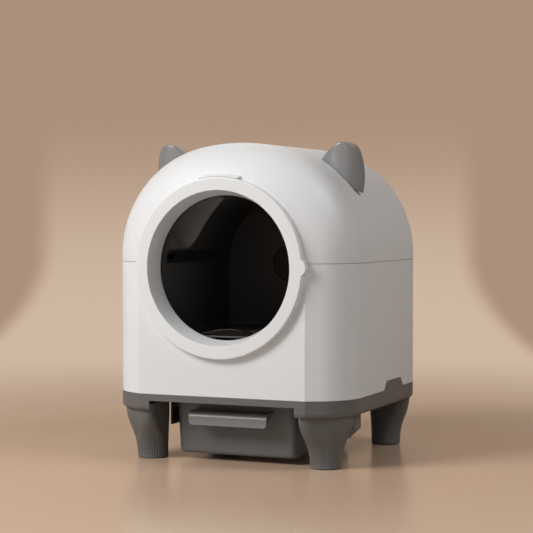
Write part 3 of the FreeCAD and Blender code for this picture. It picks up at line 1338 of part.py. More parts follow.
def make_motor():
    body = new_body("gear_motor")
    gearbox_end = bulkhead_rear_y + s.gearbox_length
    pad(body, disc(sketch_on(body, "XZ", -bulkhead_rear_y), drive_x, drive_z, s.gearbox_radius),
        s.gearbox_length, reverse=True)
    pad(body, disc(sketch_on(body, "XZ", -gearbox_end), drive_x, drive_z, s.motor_radius),
        s.motor_length, reverse=True)
    bore = disc(sketch_on(body, "XZ", -bulkhead_rear_y), drive_x, drive_z, s.shaft_radius + s.axle_fit)
    pocket(body, bore, s.gearbox_length / 2)
    holes = sketch_on(body, "XZ", -bulkhead_rear_y)
    for x, z in motor_screw_places():
        disc(holes, x, z, screw_hole)
    pocket(body, holes, s.screw_length)
    named(body, "gear_motor")
    start = s.gear_rear - s.gear_width - 2
    length = bulkhead_rear_y + s.gearbox_length / 2 - 1 - start
    named(cylinder("drive_shaft", s.shaft_radius, length, drive_x, start, drive_z, "y"), "drive_shaft")


def make_rollers():
    """Two rollers under the drum's running rim, each on a pin in its own bracket."""
    bracket_rear = plate_front_y - s.rim_length - MARGIN
    bracket_front = bracket_rear - s.bracket_wall
    roller_front = bracket_rear + 1.5
    for side_name, side in (("right", 1), ("left", -1)):
        x = roller_x * side
        roller = new_body("support_roller_" + side_name)
        wheel = disc(sketch_on(roller, "XZ", -roller_front), x, roller_z, s.roller_radius)
        disc(wheel, x, roller_z, s.pin_radius + s.axle_fit)
        pad(roller, wheel, s.roller_width, reverse=True)
        named(roller, "support_roller_" + side_name)
        pin_length = roller_front + s.roller_width + 1 - bracket_front
        named(cylinder("roller_pin_" + side_name, s.pin_radius, pin_length, x, bracket_front, roller_z, "y"),
              "roller_pin_" + side_name)
        bracket = new_body("roller_bracket_" + side_name)
        half = s.bracket_half_width
        ear = sketch_on(bracket, "XZ", -bracket_front)
        trace(ear, [(x - half, s.plate_top), (x + half, s.plate_top), (x + half, roller_z - 20),
                    (x + 7, roller_z + 9, as_size(9), "left"), (x - 7, roller_z + 9), (x - half, roller_z - 20)])
        pad(bracket, ear, s.bracket_wall, reverse=True)
        foot = sketch_on(bracket, "XY", s.plate_top)
        trace(foot, box(x - half, bracket_rear, x + half, bracket_rear + s.bracket_foot))
        pad(bracket, foot, s.bracket_wall - 1)
        web = sketch_on(bracket, "YZ", x - 2)
        trace(web, [(bracket_rear, s.plate_top), (bracket_rear + s.bracket_foot, s.plate_top),
                    (bracket_rear, s.plate_top + s.bracket_foot)])
        pad(bracket, web, as_size(4))
        pin_hole = disc(sketch_on(bracket, "XZ", -bracket_front + MARGIN), x, roller_z, s.pin_radius)
        pocket(bracket, pin_hole, s.bracket_wall + 2 * MARGIN)
        holes = sketch_on(bracket, "XY", s.plate_top + s.bracket_wall)
        for hole_x, hole_y in bracket_screw_places()[0 if side > 0 else 2:][:2]:
            disc(holes, hole_x, hole_y, screw_hole)
        pocket(bracket, holes, s.bracket_wall + MARGIN)
        named(bracket, "roller_bracket_" + side_name)


def chute_section(body, z, half_x, half_y):
    sketch = sketch_on(body, "XY", z)
    return trace(sketch, rounded(-half_x, s.chute_centre - half_y, half_x, s.chute_centre + half_y,
                                 s.chute_wall * 3))


def make_chute():
    """Funnel that leads from the drum's waste port through the base plate into the drawer."""
    body = new_body("waste_chute")
    wall = s.chute_wall
    top_x, top_y = s.chute_half_width, s.chute_half_depth
    neck_x, neck_y = s.chute_neck_half_width, s.chute_neck_half_depth
    seat = s.plate_top
    loft(body, "AdditiveLoft", [chute_section(body, seat, neck_x + wall, neck_y + wall),
                                chute_section(body, s.chute_top, top_x + wall, top_y + wall)], ruled=True)
    pad(body, chute_section(body, seat, neck_x + wall, neck_y + wall), seat - s.chute_bottom, reverse=True)
    rim = s.chute_flange + wall
    pad(body, chute_section(body, seat, neck_x + rim, neck_y + rim), wall)
    loft(body, "SubtractiveLoft", [chute_section(body, seat, neck_x, neck_y),
                                   chute_section(body, s.chute_top, top_x, top_y)], ruled=True)
    pocket(body, chute_section(body, seat, neck_x, neck_y), seat - s.chute_bottom + MARGIN)
    return named(body, "waste_chute")


def drawer_section(body, z, inset, lean):
    sketch = sketch_on(body, "XY", z)
    half = drawer_half - inset - lean
    return trace(sketch, rounded(-half, inset + lean - s.drawer_front, half, s.drawer_rear - inset - lean,
                                 s.drawer_corner + s.drawer_draft - lean - inset))


def make_drawer():
    """Open tub with leaning walls, a rim that rides on the runners and a ledge for the bag frame."""
    body = new_body("drawer_box")
    none, wall = as_size(0), s.drawer_wall
    lean = arc_tangent(s.drawer_draft / (s.drawer_top - s.drawer_bottom))
    pad(body, drawer_section(body, s.drawer_bottom, none, s.drawer_draft), s.drawer_top - s.drawer_bottom,
        taper=lean)
    fillet(body, s.drawer_edge, lambda edge, at: abs(at.z - s.drawer_bottom.value) < 0.01)
    half = drawer_half + s.rim_ledge
    ledge = box(-half, s.drawer_corner - s.drawer_front, half, s.drawer_rear - s.drawer_corner)
    pad(body, trace(sketch_on(body, "XY", s.rim_ledge_bottom), ledge), s.rim_ledge_height)
    share = wall / (s.drawer_top - s.drawer_bottom)
    pocket(body, drawer_section(body, s.drawer_bottom + wall, wall, s.drawer_draft * (1 - share)),
           s.drawer_top - s.drawer_bottom - wall, reverse=True, taper=lean)
    fillet(body, s.drawer_edge - wall, lambda edge, at: abs(at.z - s.drawer_bottom.value - wall.value) < 0.01)
    shelf = drawer_section(body, s.bag_frame_bottom, wall / 2, bag_lean())
    half_x = drawer_half - wall - s.bag_ledge_width - bag_lean()
    back = s.drawer_rear - wall - s.bag_ledge_width - bag_lean()
    front = wall + s.bag_ledge_width + bag_lean() - s.drawer_front
    trace(shelf, rounded(-half_x, front, half_x, back, s.drawer_corner))
    pad(body, shelf, s.bag_ledge_height, reverse=True)
    holes = sketch_on(body, "XZ", s.drawer_front + MARGIN)
    for x, z in handle_screw_places():
        disc(holes, x, z, screw_hole)
    pocket(body, holes, s.drawer_wall + s.drawer_draft + 2 * MARGIN)
    return named(body, "drawer_box")


def bag_lean():
    """How far the drawer's walls lean in at the bag frame."""
    return s.drawer_draft * (s.drawer_top - s.bag_frame_bottom) / (s.drawer_top - s.drawer_bottom)


def drawer_face_y(z):
    """Where the leaning front face of the drawer stands at a height."""
    return s.drawer_draft * (s.drawer_top - z) / (s.drawer_top - s.drawer_bottom) - s.drawer_front


def handle_screw_places():
    z = s.handle_top - s.handle_root / 2 - s.handle_wall / 2
    return [(s.handle_screw_x, z), (-s.handle_screw_x, z)]


def make_handle():
    """Rolled grip: a lip that curves down in front, a level top and a narrower flange against the drawer's face."""
    body = new_body("drawer_handle")
    wall, front, top, low = s.handle_wall, -s.handle_front, s.handle_top, s.handle_bottom
    roll = s.handle_roll
    lip = trace(sketch_on(body, "YZ"), [(front, low), (front + wall, low),
                                        (front + wall, top - roll, roll - wall, "right"),
                                        (front + roll, top - wall), (drawer_face_y(top - wall), top - wall),
                                        (drawer_face_y(top), top), (front + roll, top, roll, "left"),
                                        (front, top - roll)])
    pad(body, lip, 2 * s.handle_half_width, both=True)
    fillet(body, s.handle_corner, lambda edge, at: abs(at.z - low.value) < 0.01
           and abs(abs(at.x) - s.handle_half_width.value) < 0.01)
    root = top - s.handle_root
    flange = trace(sketch_on(body, "YZ"), [(drawer_face_y(root) - wall, root), (drawer_face_y(root), root),
                                           (drawer_face_y(top - 1), top - 1),
                                           (drawer_face_y(top - 1) - wall, top - 1)])
    pad(body, flange, 2 * (s.handle_half_width - s.handle_flange_inset), both=True)
    holes = sketch_on(body, "XZ", s.drawer_front + wall + 2)
    for x, z in handle_screw_places():
        disc(holes, x, z, screw_hole)
    pocket(body, holes, wall + 4)
    return named(body, "drawer_handle")


def make_runners():
    """Ledges under the base plate that carry the drawer's rim."""
    for side_name, side in (("right", 1), ("left", -1)):
        body = new_body("drawer_runner_" + side_name)
        ledge_top = s.rim_ledge_bottom - s.runner_gap
        inner, web, wall = drawer_half + s.runner_fit, drawer_half + s.runner_reach, s.runner_wall
        outline = [(inner, ledge_top - wall), (web, ledge_top - wall), (web, s.runner_bottom),
                   (web + wall, s.runner_bottom), (web + wall, s.plate_bottom), (inner, s.plate_bottom),
                   (inner, s.plate_bottom - wall), (web, s.plate_bottom - wall), (web, ledge_top),
                   (inner, ledge_top)]
        if side < 0:
            outline = mirrored(outline)
        pad(body, trace(sketch_on(body, "XZ", s.runner_front), outline), s.runner_front + s.runner_rear, reverse=True)
        named(body, "drawer_runner_" + side_name)


def make_bag_frame():
    """Loose frame that clamps the waste bag on the drawer's inner ledge."""
    body = new_body("bag_frame")
    inset = s.drawer_wall + s.bag_frame_gap
    top = s.bag_frame_bottom + s.bag_frame_height
    pad(body, drawer_section(body, s.bag_frame_bottom, inset, bag_lean()), s.bag_frame_height)
    pocket(body, drawer_section(body, top, inset + s.bag_frame_width, bag_lean()), s.bag_frame_height)
    return named(body, "bag_frame")


def make_rear_cover():
    body = new_body("rear_cover")
    half = s.cover_half_width
    start = s.rear_reach - s.shell_wall
    pad(body, trace(sketch_on(body, "XZ", -start), rounded(-half, s.cover_bottom, half, s.cover_top, s.cover_corner)),
        s.shell_wall, reverse=True)
    vents = sketch_on(body, "XZ", -s.rear_reach - MARGIN)
    for index in range(int(s.vent_count.value)):
        low = s.vent_bottom + s.vent_pitch * index
        trace(vents, rounded(-s.vent_width / 2, low, s.vent_width / 2, low + s.vent_height, s.vent_height * 0.45))
    disc(vents, s.inlet_x, s.inlet_z, s.inlet_radius + s.screw_fit)
    for x, z in cover_screw_places():
        disc(vents, x, z, screw_hole)
    pocket(body, vents, s.shell_wall + 2 * MARGIN, reverse=True)
    heads = sketch_on(body, "XZ", -s.rear_reach)
    for x, z in cover_screw_places():
        disc(heads, x, z, s.screw_head + s.screw_fit)
    pocket(body, heads, s.screw_head_height - 0.4, reverse=True)
    sink = disc(sketch_on(body, "XZ", -s.rear_reach), s.inlet_x, s.inlet_z, s.inlet_flange + s.screw_fit)
    pocket(body, sink, s.inlet_flange_height, reverse=True)
    named(body, "rear_cover")
    inlet = new_body("power_inlet")
    flange = disc(sketch_on(inlet, "XZ", -s.rear_reach), s.inlet_x, s.inlet_z, s.inlet_flange)
    pad(inlet, flange, s.inlet_flange_height)
    barrel = disc(sketch_on(inlet, "XZ", -s.rear_reach), s.inlet_x, s.inlet_z, s.inlet_radius)
    pad(inlet, barrel, s.inlet_length)
    bore = disc(sketch_on(inlet, "XZ", -s.rear_reach), s.inlet_x, s.inlet_z, s.inlet_bore)
    pocket(inlet, bore, s.inlet_bore_length, reverse=True)
    named(inlet, "power_inlet")


def make_electronics():
    """Control board on spacers behind the bulkhead, and the drum's position sensor."""
    board_front = bulkhead_rear_y + s.board_standoff
    x_low, z_low = s.board_x - s.board_width / 2, s.board_z - s.board_height / 2
    x_high, z_high = x_low + s.board_width, z_low + s.board_height
    board = new_body("control_board")
    pad(board, trace(sketch_on(board, "XZ", -board_front), box(x_low, z_low, x_high, z_high)),
        s.board_wall, reverse=True)
    parts = sketch_on(board, "XZ", -board_front - s.board_wall)
    trace(parts, box(x_low + 14, z_low + 16, x_low + 34, z_low + 40))
    trace(parts, box(x_low + 44, z_low + 30, x_low + 60, z_low + 46))
    trace(parts, box(x_high - 34, z_low + 18, x_high - 14, z_low + 32))
    disc(parts, x_high - 30, z_high - 24, 7)
    pad(board, parts, as_size(9), reverse=True)
    named(board, "control_board")
    spacers = []
    inset = s.spacer_inset
    for number, (x, z) in enumerate([(x_low + inset, z_low + inset), (x_high - inset, z_low + inset),
                                     (x_high - inset, z_high - inset), (x_low + inset, z_high - inset)]):
        spacers.append(cylinder("board_spacer_%d" % number, s.spacer_radius, s.board_standoff, x,
                                bulkhead_rear_y, z, "y"))
    named(group("board_spacers", spacers), "board_spacers")
    low_z = s.axis_height - s.sensor_radius_at
    named(cylinder("position_magnet", s.magnet_radius, s.magnet_height, 0, drum_back_y, low_z, "y"),
          "position_magnet")
    half = s.sensor_size / 2
    named(block("hall_sensor", (-half, s.bulkhead_front - s.sensor_height, low_z - half),
                (half, s.bulkhead_front, low_z + half)), "hall_sensor")


def screw(name, x, y, z, along, towards, length=None):
    """Pan-head screw. Its head seats at the point and its shank runs along +Y, -Y, +Z or -Z."""
    length, height = length or s.screw_length, s.screw_head_height
    head, shank = [x, y, z], [x, y, z]
    axis = "xyz".index(along)
    if towards > 0:
        head[axis] = head[axis] - height
    else:
        shank[axis] = shank[axis] - length
    shank = cylinder(name + "_shank", s.screw_radius, length, *shank, along)
    head = cylinder(name + "_head", s.screw_head, height, *head, along)
    return joined("Fuse", name, shank, head)


def make_screws():
    rear = s.rear_reach - (s.screw_head_height - 0.4)
    named(group("cover_screws", [screw("cover_screw", x, rear, z, "y", -1) for x, z in cover_screw_places()]),
          "cover_screws")
    inside = -s.front_reach + s.shell_wall
    named(group("ring_screws", [screw("ring_screw", x, inside, z, "y", -1) for x, z in ring_screw_places()]),
          "ring_screws")
    named(group("motor_screws", [screw("motor_screw", x, s.bulkhead_front, z, "y", 1)
                                 for x, z in motor_screw_places()]), "motor_screws")
    top = s.plate_top + s.bracket_wall - 1
    named(group("bracket_screws", [screw("bracket_screw", x, y, top, "z", -1) for x, y in bracket_screw_places()]),
          "bracket_screws")
    named(group("leg_screws", [screw("leg_screw", x, y, s.plate_top, "z", -1, s.leg_screw_length)
                               for x, y in cell_screw_places()]), "leg_screws")
    inner_face = drawer_face_y(handle_screw_places()[0][1] - s.screw_head) + s.drawer_wall
    named(group("handle_screws", [screw("handle_screw", x, inner_face, z, "y", -1)
                                  for x, z in handle_screw_places()]), "handle_screws")


def check_document():
    """Stop when a feature has failed or a piece has no sound shape."""
    for item in DOC.Objects:
        bad = [state for state in item.State if state in ("Invalid", "Error")]
        if bad:
            raise RuntimeError("%s failed: %s" % (item.Name, ", ".join(bad)))
    for name, item in PARTS.items():
        if item.Shape.isNull() or not item.Shape.isValid() or not item.Shape.Solids:
            raise RuntimeError("%s has no sound solid" % name)


def main():
    make_hood()
    make_brow()
    make_ears()
    make_lower_body()
    make_front_ring()
    make_status_led()
    make_collar_seal()
    make_base_frame()
    for row in ("front", "rear"):
        make_legs(row)
    make_drum_shell()
    make_drum_liner()
    make_sieve()
    make_port_duct()
    make_drum_front()
    make_entry_sill()
    make_gears()
    make_axle()
    make_bush()
    make_bulkhead()
    make_motor()
    make_rollers()
    make_chute()
    make_drawer()
    make_handle()
    make_runners()
    make_bag_frame()
    make_rear_cover()
    make_electronics()
    make_screws()
    DOC.recompute()
    check_document()
    os.makedirs("parts", exist_ok=True)
    for name, item in PARTS.items():
        item.Shape.exportStep("parts/%s.step" % name)
    print("%d pieces written" % len(PARTS))


main()
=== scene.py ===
"""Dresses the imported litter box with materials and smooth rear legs, and lights it in a plain studio."""
import json
import math

import bmesh
import bpy
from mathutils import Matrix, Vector


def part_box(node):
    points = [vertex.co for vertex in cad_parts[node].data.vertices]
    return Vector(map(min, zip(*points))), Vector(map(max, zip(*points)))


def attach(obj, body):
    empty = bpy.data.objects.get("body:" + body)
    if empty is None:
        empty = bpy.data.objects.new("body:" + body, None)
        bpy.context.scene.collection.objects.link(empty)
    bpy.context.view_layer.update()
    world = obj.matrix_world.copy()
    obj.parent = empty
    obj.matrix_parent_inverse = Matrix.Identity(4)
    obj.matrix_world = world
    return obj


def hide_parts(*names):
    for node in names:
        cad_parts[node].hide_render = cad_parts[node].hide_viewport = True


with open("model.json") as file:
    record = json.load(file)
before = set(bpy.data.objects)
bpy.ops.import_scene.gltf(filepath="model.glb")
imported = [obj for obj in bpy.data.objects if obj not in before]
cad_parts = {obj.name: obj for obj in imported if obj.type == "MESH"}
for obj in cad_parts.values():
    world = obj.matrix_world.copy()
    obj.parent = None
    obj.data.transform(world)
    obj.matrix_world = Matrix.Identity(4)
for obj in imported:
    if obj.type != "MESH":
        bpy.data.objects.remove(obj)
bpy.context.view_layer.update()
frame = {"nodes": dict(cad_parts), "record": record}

MM = 0.001

# Noise is given as features per metre, detail and, where it isn't 0.5, roughness.
EDGE_ROUND = 0.6 * MM
EDGE_SAMPLES = 6
GRAIN_DEPTH = 0.1 * MM
PLASTIC_TONES = (9, 2)
PLASTIC_SHEEN = (60, 4)
PLASTIC_SHEEN_RANGE = 0.05
PLASTIC_GRAIN = (1500, 2, 0.6)
METAL_STRETCH = (600, 25, 600)
METAL_LINES = 3
METAL_DARKEST = 0.85
RUBBER_TONES = (120, 5)
RUBBER_DUST = 1.6
RUBBER_SHEEN = (300, 3)
RUBBER_ROUGHNESS = (0.7, 0.9)
RUBBER_GRAIN = (1800, 2)
RUBBER_GRAIN_STRENGTH = 0.15
LENS_CLOUDS = (700, 2)
LENS_BRIGHTEST = 1.15
LENS_ROUGHNESS = 0.25
BOARD_CELLS = 90
BOARD_ROUGHNESS = 0.35
BOARD_COLOURS = {
    "Color1": (0.012, 0.10, 0.035),
    "Color2": (0.02, 0.16, 0.06),
    "Mortar": (0.03, 0.2, 0.08),
}
DRUM_BLACK = (0.022, 0.022, 0.0225)
DRUM_FINISH = {"roughness": 0.36, "grain": 0.05, "tone": 0.1}
# Painted light inside the drum: a paler black near the entrance, passing into the plain drum black between
# two depths.
PAINTED_LIGHT_BLACK = (0.11, 0.11, 0.106)
PAINTED_LIGHT_ENDS = (-0.15, 0.09)


def new_material(name):
    """Return a node material, its node tree and its shader."""
    material = bpy.data.materials.new(name)
    material.use_nodes = True
    tree = material.node_tree
    return material, tree, tree.nodes["Principled BSDF"]


def shaded(colour, share):
    """A colour made darker or brighter, up to full brightness."""
    return tuple(min(channel * share, 1) for channel in colour)


def mix_colours(tree, factor, low, high):
    """Mix two colours or colour sockets by a factor socket and return the colour socket."""
    mix = tree.nodes.new("ShaderNodeMix")
    mix.data_type = "RGBA"
    tree.links.new(factor, mix.inputs["Factor"])
    for name, colour in (("A", low), ("B", high)):
        if isinstance(colour, tuple):
            mix.inputs[name].default_value = (*colour, 1)
        else:
            tree.links.new(colour, mix.inputs[name])
    return mix.outputs["Result"]


def object_place(tree):
    """Where a point lies in object space, in metres."""
    return tree.nodes.new("ShaderNodeTexCoord").outputs["Object"]


def noise(tree, scale, detail, roughness=0.5):
    """Noise in object space."""
    node = tree.nodes.new("ShaderNodeTexNoise")
    node.inputs["Scale"].default_value = scale
    node.inputs["Detail"].default_value = detail
    node.inputs["Roughness"].default_value = roughness
    tree.links.new(object_place(tree), node.inputs["Vector"])
    return node.outputs["Fac"]


def spread(tree, value, low, high):
    """Map a 0 to 1 value to a narrower range."""
    node = tree.nodes.new("ShaderNodeMapRange")
    node.inputs["To Min"].default_value = low
    node.inputs["To Max"].default_value = high
    tree.links.new(value, node.inputs["Value"])
    return node.outputs["Result"]


def ramp(tree, value, low, high):
    """Smooth 0 to 1 step between two values."""
    node = tree.nodes.new("ShaderNodeMapRange")
    node.interpolation_type = "SMOOTHSTEP"
    node.inputs["From Min"].default_value = low
    node.inputs["From Max"].default_value = high
    tree.links.new(value, node.inputs["Value"])
    return node.outputs["Result"]


def calculate(tree, operation, first, second=None):
    """One arithmetic step on sockets or plain numbers."""
    node = tree.nodes.new("ShaderNodeMath")
    node.operation = operation
    for place, value in enumerate((first, second)):
        if isinstance(value, (int, float)):
            node.inputs[place].default_value = value
        elif value is not None:
            tree.links.new(value, node.inputs[place])
    return node.outputs["Value"]


def product(tree, first, *others):
    """Product of sockets or plain numbers."""
    for other in others:
        first = calculate(tree, "MULTIPLY", first, other)
    return first


def seen_rays(tree):
    """1 for rays from the camera or from a glossy surface, 0 for all other light."""
    path = tree.nodes.new("ShaderNodeLightPath")
    return calculate(tree, "MAXIMUM", path.outputs["Is Camera Ray"], path.outputs["Is Glossy Ray"])


def add_relief(tree, shader, height, strength, edge=0):
    """Fine relief by a height socket, on a surface whose edges are rounded where a radius is given."""
    bump = tree.nodes.new("ShaderNodeBump")
    bump.inputs["Strength"].default_value = strength
    bump.inputs["Distance"].default_value = GRAIN_DEPTH
    tree.links.new(height, bump.inputs["Height"])
    if edge:
        soft = tree.nodes.new("ShaderNodeBevel")
        soft.samples = EDGE_SAMPLES
        soft.inputs["Radius"].default_value = edge
        tree.links.new(soft.outputs["Normal"], bump.inputs["Normal"])
    tree.links.new(bump.outputs["Normal"], shader.inputs["Normal"])


def moulded_plastic(name, colour, roughness, grain, tone, edge=EDGE_ROUND, specular=0.5):
    """Injection-moulded plastic: faint tone changes, fine grain and softly rounded edges."""
    material, tree, shader = new_material(name)
    tones = shaded(colour, 1 - tone), shaded(colour, 1 + tone)
    tree.links.new(mix_colours(tree, noise(tree, *PLASTIC_TONES), *tones), shader.inputs["Base Color"])
    sheen = spread(tree, noise(tree, *PLASTIC_SHEEN), roughness - PLASTIC_SHEEN_RANGE,
                   roughness + PLASTIC_SHEEN_RANGE)
    tree.links.new(sheen, shader.inputs["Roughness"])
    shader.inputs["Specular IOR Level"].default_value = specular
    add_relief(tree, shader, noise(tree, *PLASTIC_GRAIN), grain, edge)
    return material


def chamber_plastic(name, near, far, ends):
    """The drum's dark plastic with painted light: paler near the entrance, where light falls in, and plain
    dark from some depth on.
    """
    material = moulded_plastic(name, far, **DRUM_FINISH)
    tree = material.node_tree
    parts = tree.nodes.new("ShaderNodeSeparateXYZ")
    tree.links.new(object_place(tree), parts.inputs["Vector"])
    # Painted light: paler towards the entrance.
    colour = mix_colours(tree, ramp(tree, parts.outputs["Y"], *ends), near, far)
    tree.links.new(colour, tree.nodes["Principled BSDF"].inputs["Base Color"])
    return material


def metal(name, colour, roughness, brushing=0.15):
    """Turned or drawn metal with fine scratches along one direction."""
    material, tree, shader = new_material(name)
    stretch = tree.nodes.new("ShaderNodeMapping")
    stretch.inputs["Scale"].default_value = METAL_STRETCH
    tree.links.new(object_place(tree), stretch.inputs["Vector"])
    lines = tree.nodes.new("ShaderNodeTexNoise")
    lines.inputs["Scale"].default_value = METAL_LINES
    tree.links.new(stretch.outputs["Vector"], lines.inputs["Vector"])
    scratches = lines.outputs["Fac"]
    tree.links.new(mix_colours(tree, scratches, shaded(colour, METAL_DARKEST), colour),
                   shader.inputs["Base Color"])
    tree.links.new(spread(tree, scratches, roughness - brushing / 2, roughness + brushing / 2),
                   shader.inputs["Roughness"])
    shader.inputs["Metallic"].default_value = 1
    return material


def rubber(name, colour):
    """Matt rubber with a dusty, slightly uneven surface."""
    material, tree, shader = new_material(name)
    tree.links.new(mix_colours(tree, noise(tree, *RUBBER_TONES), colour, shaded(colour, RUBBER_DUST)),
                   shader.inputs["Base Color"])
    tree.links.new(spread(tree, noise(tree, *RUBBER_SHEEN), *RUBBER_ROUGHNESS),
                   shader.inputs["Roughness"])
    add_relief(tree, shader, noise(tree, *RUBBER_GRAIN), RUBBER_GRAIN_STRENGTH)
    return material


def lamp_lens(name, colour, glow):
    """Light pipe that glows a little."""
    material, tree, shader = new_material(name)
    tree.links.new(mix_colours(tree, noise(tree, *LENS_CLOUDS), colour, shaded(colour, LENS_BRIGHTEST)),
                   shader.inputs["Base Color"])
    shader.inputs["Roughness"].default_value = LENS_ROUGHNESS
    shader.inputs["Emission Color"].default_value = (*colour, 1)
    shader.inputs["Emission Strength"].default_value = glow
    return material


def circuit_board(name):
    """Green board in several greens, as copper areas show through the lacquer."""
    material, tree, shader = new_material(name)
    cells = tree.nodes.new("ShaderNodeTexBrick")
    cells.inputs["Scale"].default_value = BOARD_CELLS
    for place, colour in BOARD_COLOURS.items():
        cells.inputs[place].default_value = (*colour, 1)
    tree.links.new(object_place(tree), cells.inputs["Vector"])
    tree.links.new(cells.outputs["Color"], shader.inputs["Base Color"])
    shader.inputs["Roughness"].default_value = BOARD_ROUGHNESS
    return material


SLOTS = {
    "white_shell": moulded_plastic("shell_white", (0.80, 0.80, 0.80), 0.42, grain=0.03, tone=0.008),
    "ring_white": moulded_plastic("ring_white", (0.83, 0.83, 0.83), 0.38, grain=0.03, tone=0.008),
    "grey_plastic": moulded_plastic("base_grey", (0.135, 0.131, 0.127), 0.48, grain=0.10, tone=0.04),
    "ear_grey": moulded_plastic("ear_grey", (0.205, 0.207, 0.21), 0.36, grain=0.05, tone=0.03,
                                specular=0.9),
    "dark_plastic": moulded_plastic("drum_black", DRUM_BLACK, **DRUM_FINISH),
    "inner_grey": moulded_plastic("inner_grey", (0.065, 0.065, 0.066), 0.5, grain=0.08, tone=0.05),
    # Painted highlight: the port duct is a much paler grey than the other inner parts, standing in for
    # light falling on it and reflecting off it.
    "port_grey": moulded_plastic("port_grey", (0.42, 0.41, 0.39), 0.42, grain=0.06, tone=0.05),
    "gear_white": moulded_plastic("gear_acetal", (0.62, 0.61, 0.57), 0.4, grain=0.04, tone=0.03,
                                  edge=0.2 * MM),
    "foot_rubber": rubber("foot_rubber", (0.018, 0.018, 0.018)),
    "seal_rubber": rubber("seal_rubber", (0.012, 0.012, 0.012)),
    "steel": metal("drawn_steel", (0.58, 0.58, 0.6), 0.32),
    "aluminium": metal("milled_aluminium", (0.72, 0.73, 0.75), 0.38),
    "bush_bronze": metal("sintered_bronze", (0.60, 0.40, 0.17), 0.5),
    "magnet": metal("magnet_nickel", (0.62, 0.61, 0.58), 0.2, brushing=0.06),
    "led_blue": lamp_lens("status_lens", (0.42, 0.66, 0.86), 0.35),
    "board_green": circuit_board("circuit_board"),
}

# Finishes of single nodes that differ from the rest of their slot.
NODE_FINISHES = {
    # Painted light: the brow cover is a paler white than the shell, to make up for the shade on its top
    # face.
    "sensor_cover": moulded_plastic("cover_white_painted_light", (0.86, 0.865, 0.87), 0.42, grain=0.03, tone=0.008,
                                    edge=2.5 * MM),
    # Painted light: the liner is paler near the entrance.
    "drum_liner": chamber_plastic("liner_black", PAINTED_LIGHT_BLACK, DRUM_BLACK, PAINTED_LIGHT_ENDS),
    "drum_shell": moulded_plastic("shell_dark", (0.010, 0.010, 0.010), 0.5, grain=0.05, tone=0.1),
    "hub_cap": moulded_plastic("hub_black", (0.009, 0.009, 0.009), 0.3, grain=0.03, tone=0.1,
                               specular=0.3),
    "entry_sill": moulded_plastic("sill_black", (0.002, 0.002, 0.002), 0.12, grain=0.01, tone=0.1,
                                  edge=1.2 * MM, specular=0.35),
}


def dress_nodes():
    """Give every CAD node its own finish or that of its slot."""
    for entry in frame["record"]["subparts"]:
        obj = frame["nodes"][entry["node"]]
        material = NODE_FINISHES.get(entry["node"], SLOTS[entry["material_slot"]])
        if not obj.material_slots:
            obj.data.materials.append(material)
        for slot in obj.material_slots:
            slot.material = material


def add_object(name, work):
    """Turn a finished work mesh into an object of the scene."""
    mesh = bpy.data.meshes.new(name)
    work.to_mesh(mesh)
    work.free()
    obj = bpy.data.objects.new(name, mesh)
    bpy.context.scene.collection.objects.link(obj)
    return obj


# Rear legs. They stand in for the CAD's own, whose outline crosses itself on the outer side.
# The flare gives heights from the floor and the share of the full flare there.
FOOT_RADIUS = 31 * MM
FOOT_CORNER = 30 * MM
SIDE_CORNER = 24 * MM
OUTER_CORNER = 64 * MM
LEG_FLARE = ((1.5 * MM, 0), (22 * MM, 0.06), (46 * MM, 0.29), (74 * MM, 0.75), (100 * MM, 1))
PAD_FIT = 0.3 * MM
RIM_ROUND = 0.8 * MM
CORNER_STEPS = 14
STAGE_STEPS = 8
SAME_POINT = 0.01 * MM
SHARP_ANGLE = math.radians(40)


def between(low, high, part):
    """The value at a part of the way from low to high."""
    return low + (high - low) * part


def flare_at(stage, part):
    """Share of the flare between two given heights, as a smooth curve through all of them."""
    last = len(LEG_FLARE) - 1
    before, start, end, after = (LEG_FLARE[max(0, min(stage + offset, last))][1]
                                 for offset in (-1, 0, 1, 2))
    slope_in, slope_out = (end - before) / 2, (after - start) / 2
    rest = 1 - part
    curve = (start * (1 + 2 * part) * rest ** 2 + end * part ** 2 * (3 - 2 * part)
             + slope_in * part * rest ** 2 - slope_out * part ** 2 * rest)
    return max(0, min(curve, 1))


def leg_ring(centre, low, high, flare, inset=0):
    """Outline of the right rear leg at one share of its flare, as points round its centre."""
    def reach(full):
        return between(FOOT_RADIUS, full, flare) - inset

    x_low, y_low = centre.x - reach(centre.x - low.x), centre.y - reach(centre.y - low.y)
    x_high, y_high = centre.x + reach(high.x - centre.x), centre.y + reach(high.y - centre.y)
    small = between(FOOT_CORNER, SIDE_CORNER, flare)
    wide = min(between(FOOT_CORNER, OUTER_CORNER, flare), x_high - x_low - small)
    deep = min(wide, y_high - y_low - small)
    corners = (
        (x_low + small, y_low + small, small, small),
        (x_high - small, y_low + small, small, small),
        (x_high - wide, y_high - deep, wide, deep),
        (x_low + small, y_high - small, small, small),
    )
    points = []
    for number, (x, y, across, along) in enumerate(corners):
        for step in range(CORNER_STEPS + 1):
            angle = math.radians(180 + 90 * (number + step / CORNER_STEPS))
            points.append((x + across * math.cos(angle), y + along * math.sin(angle)))
    return points


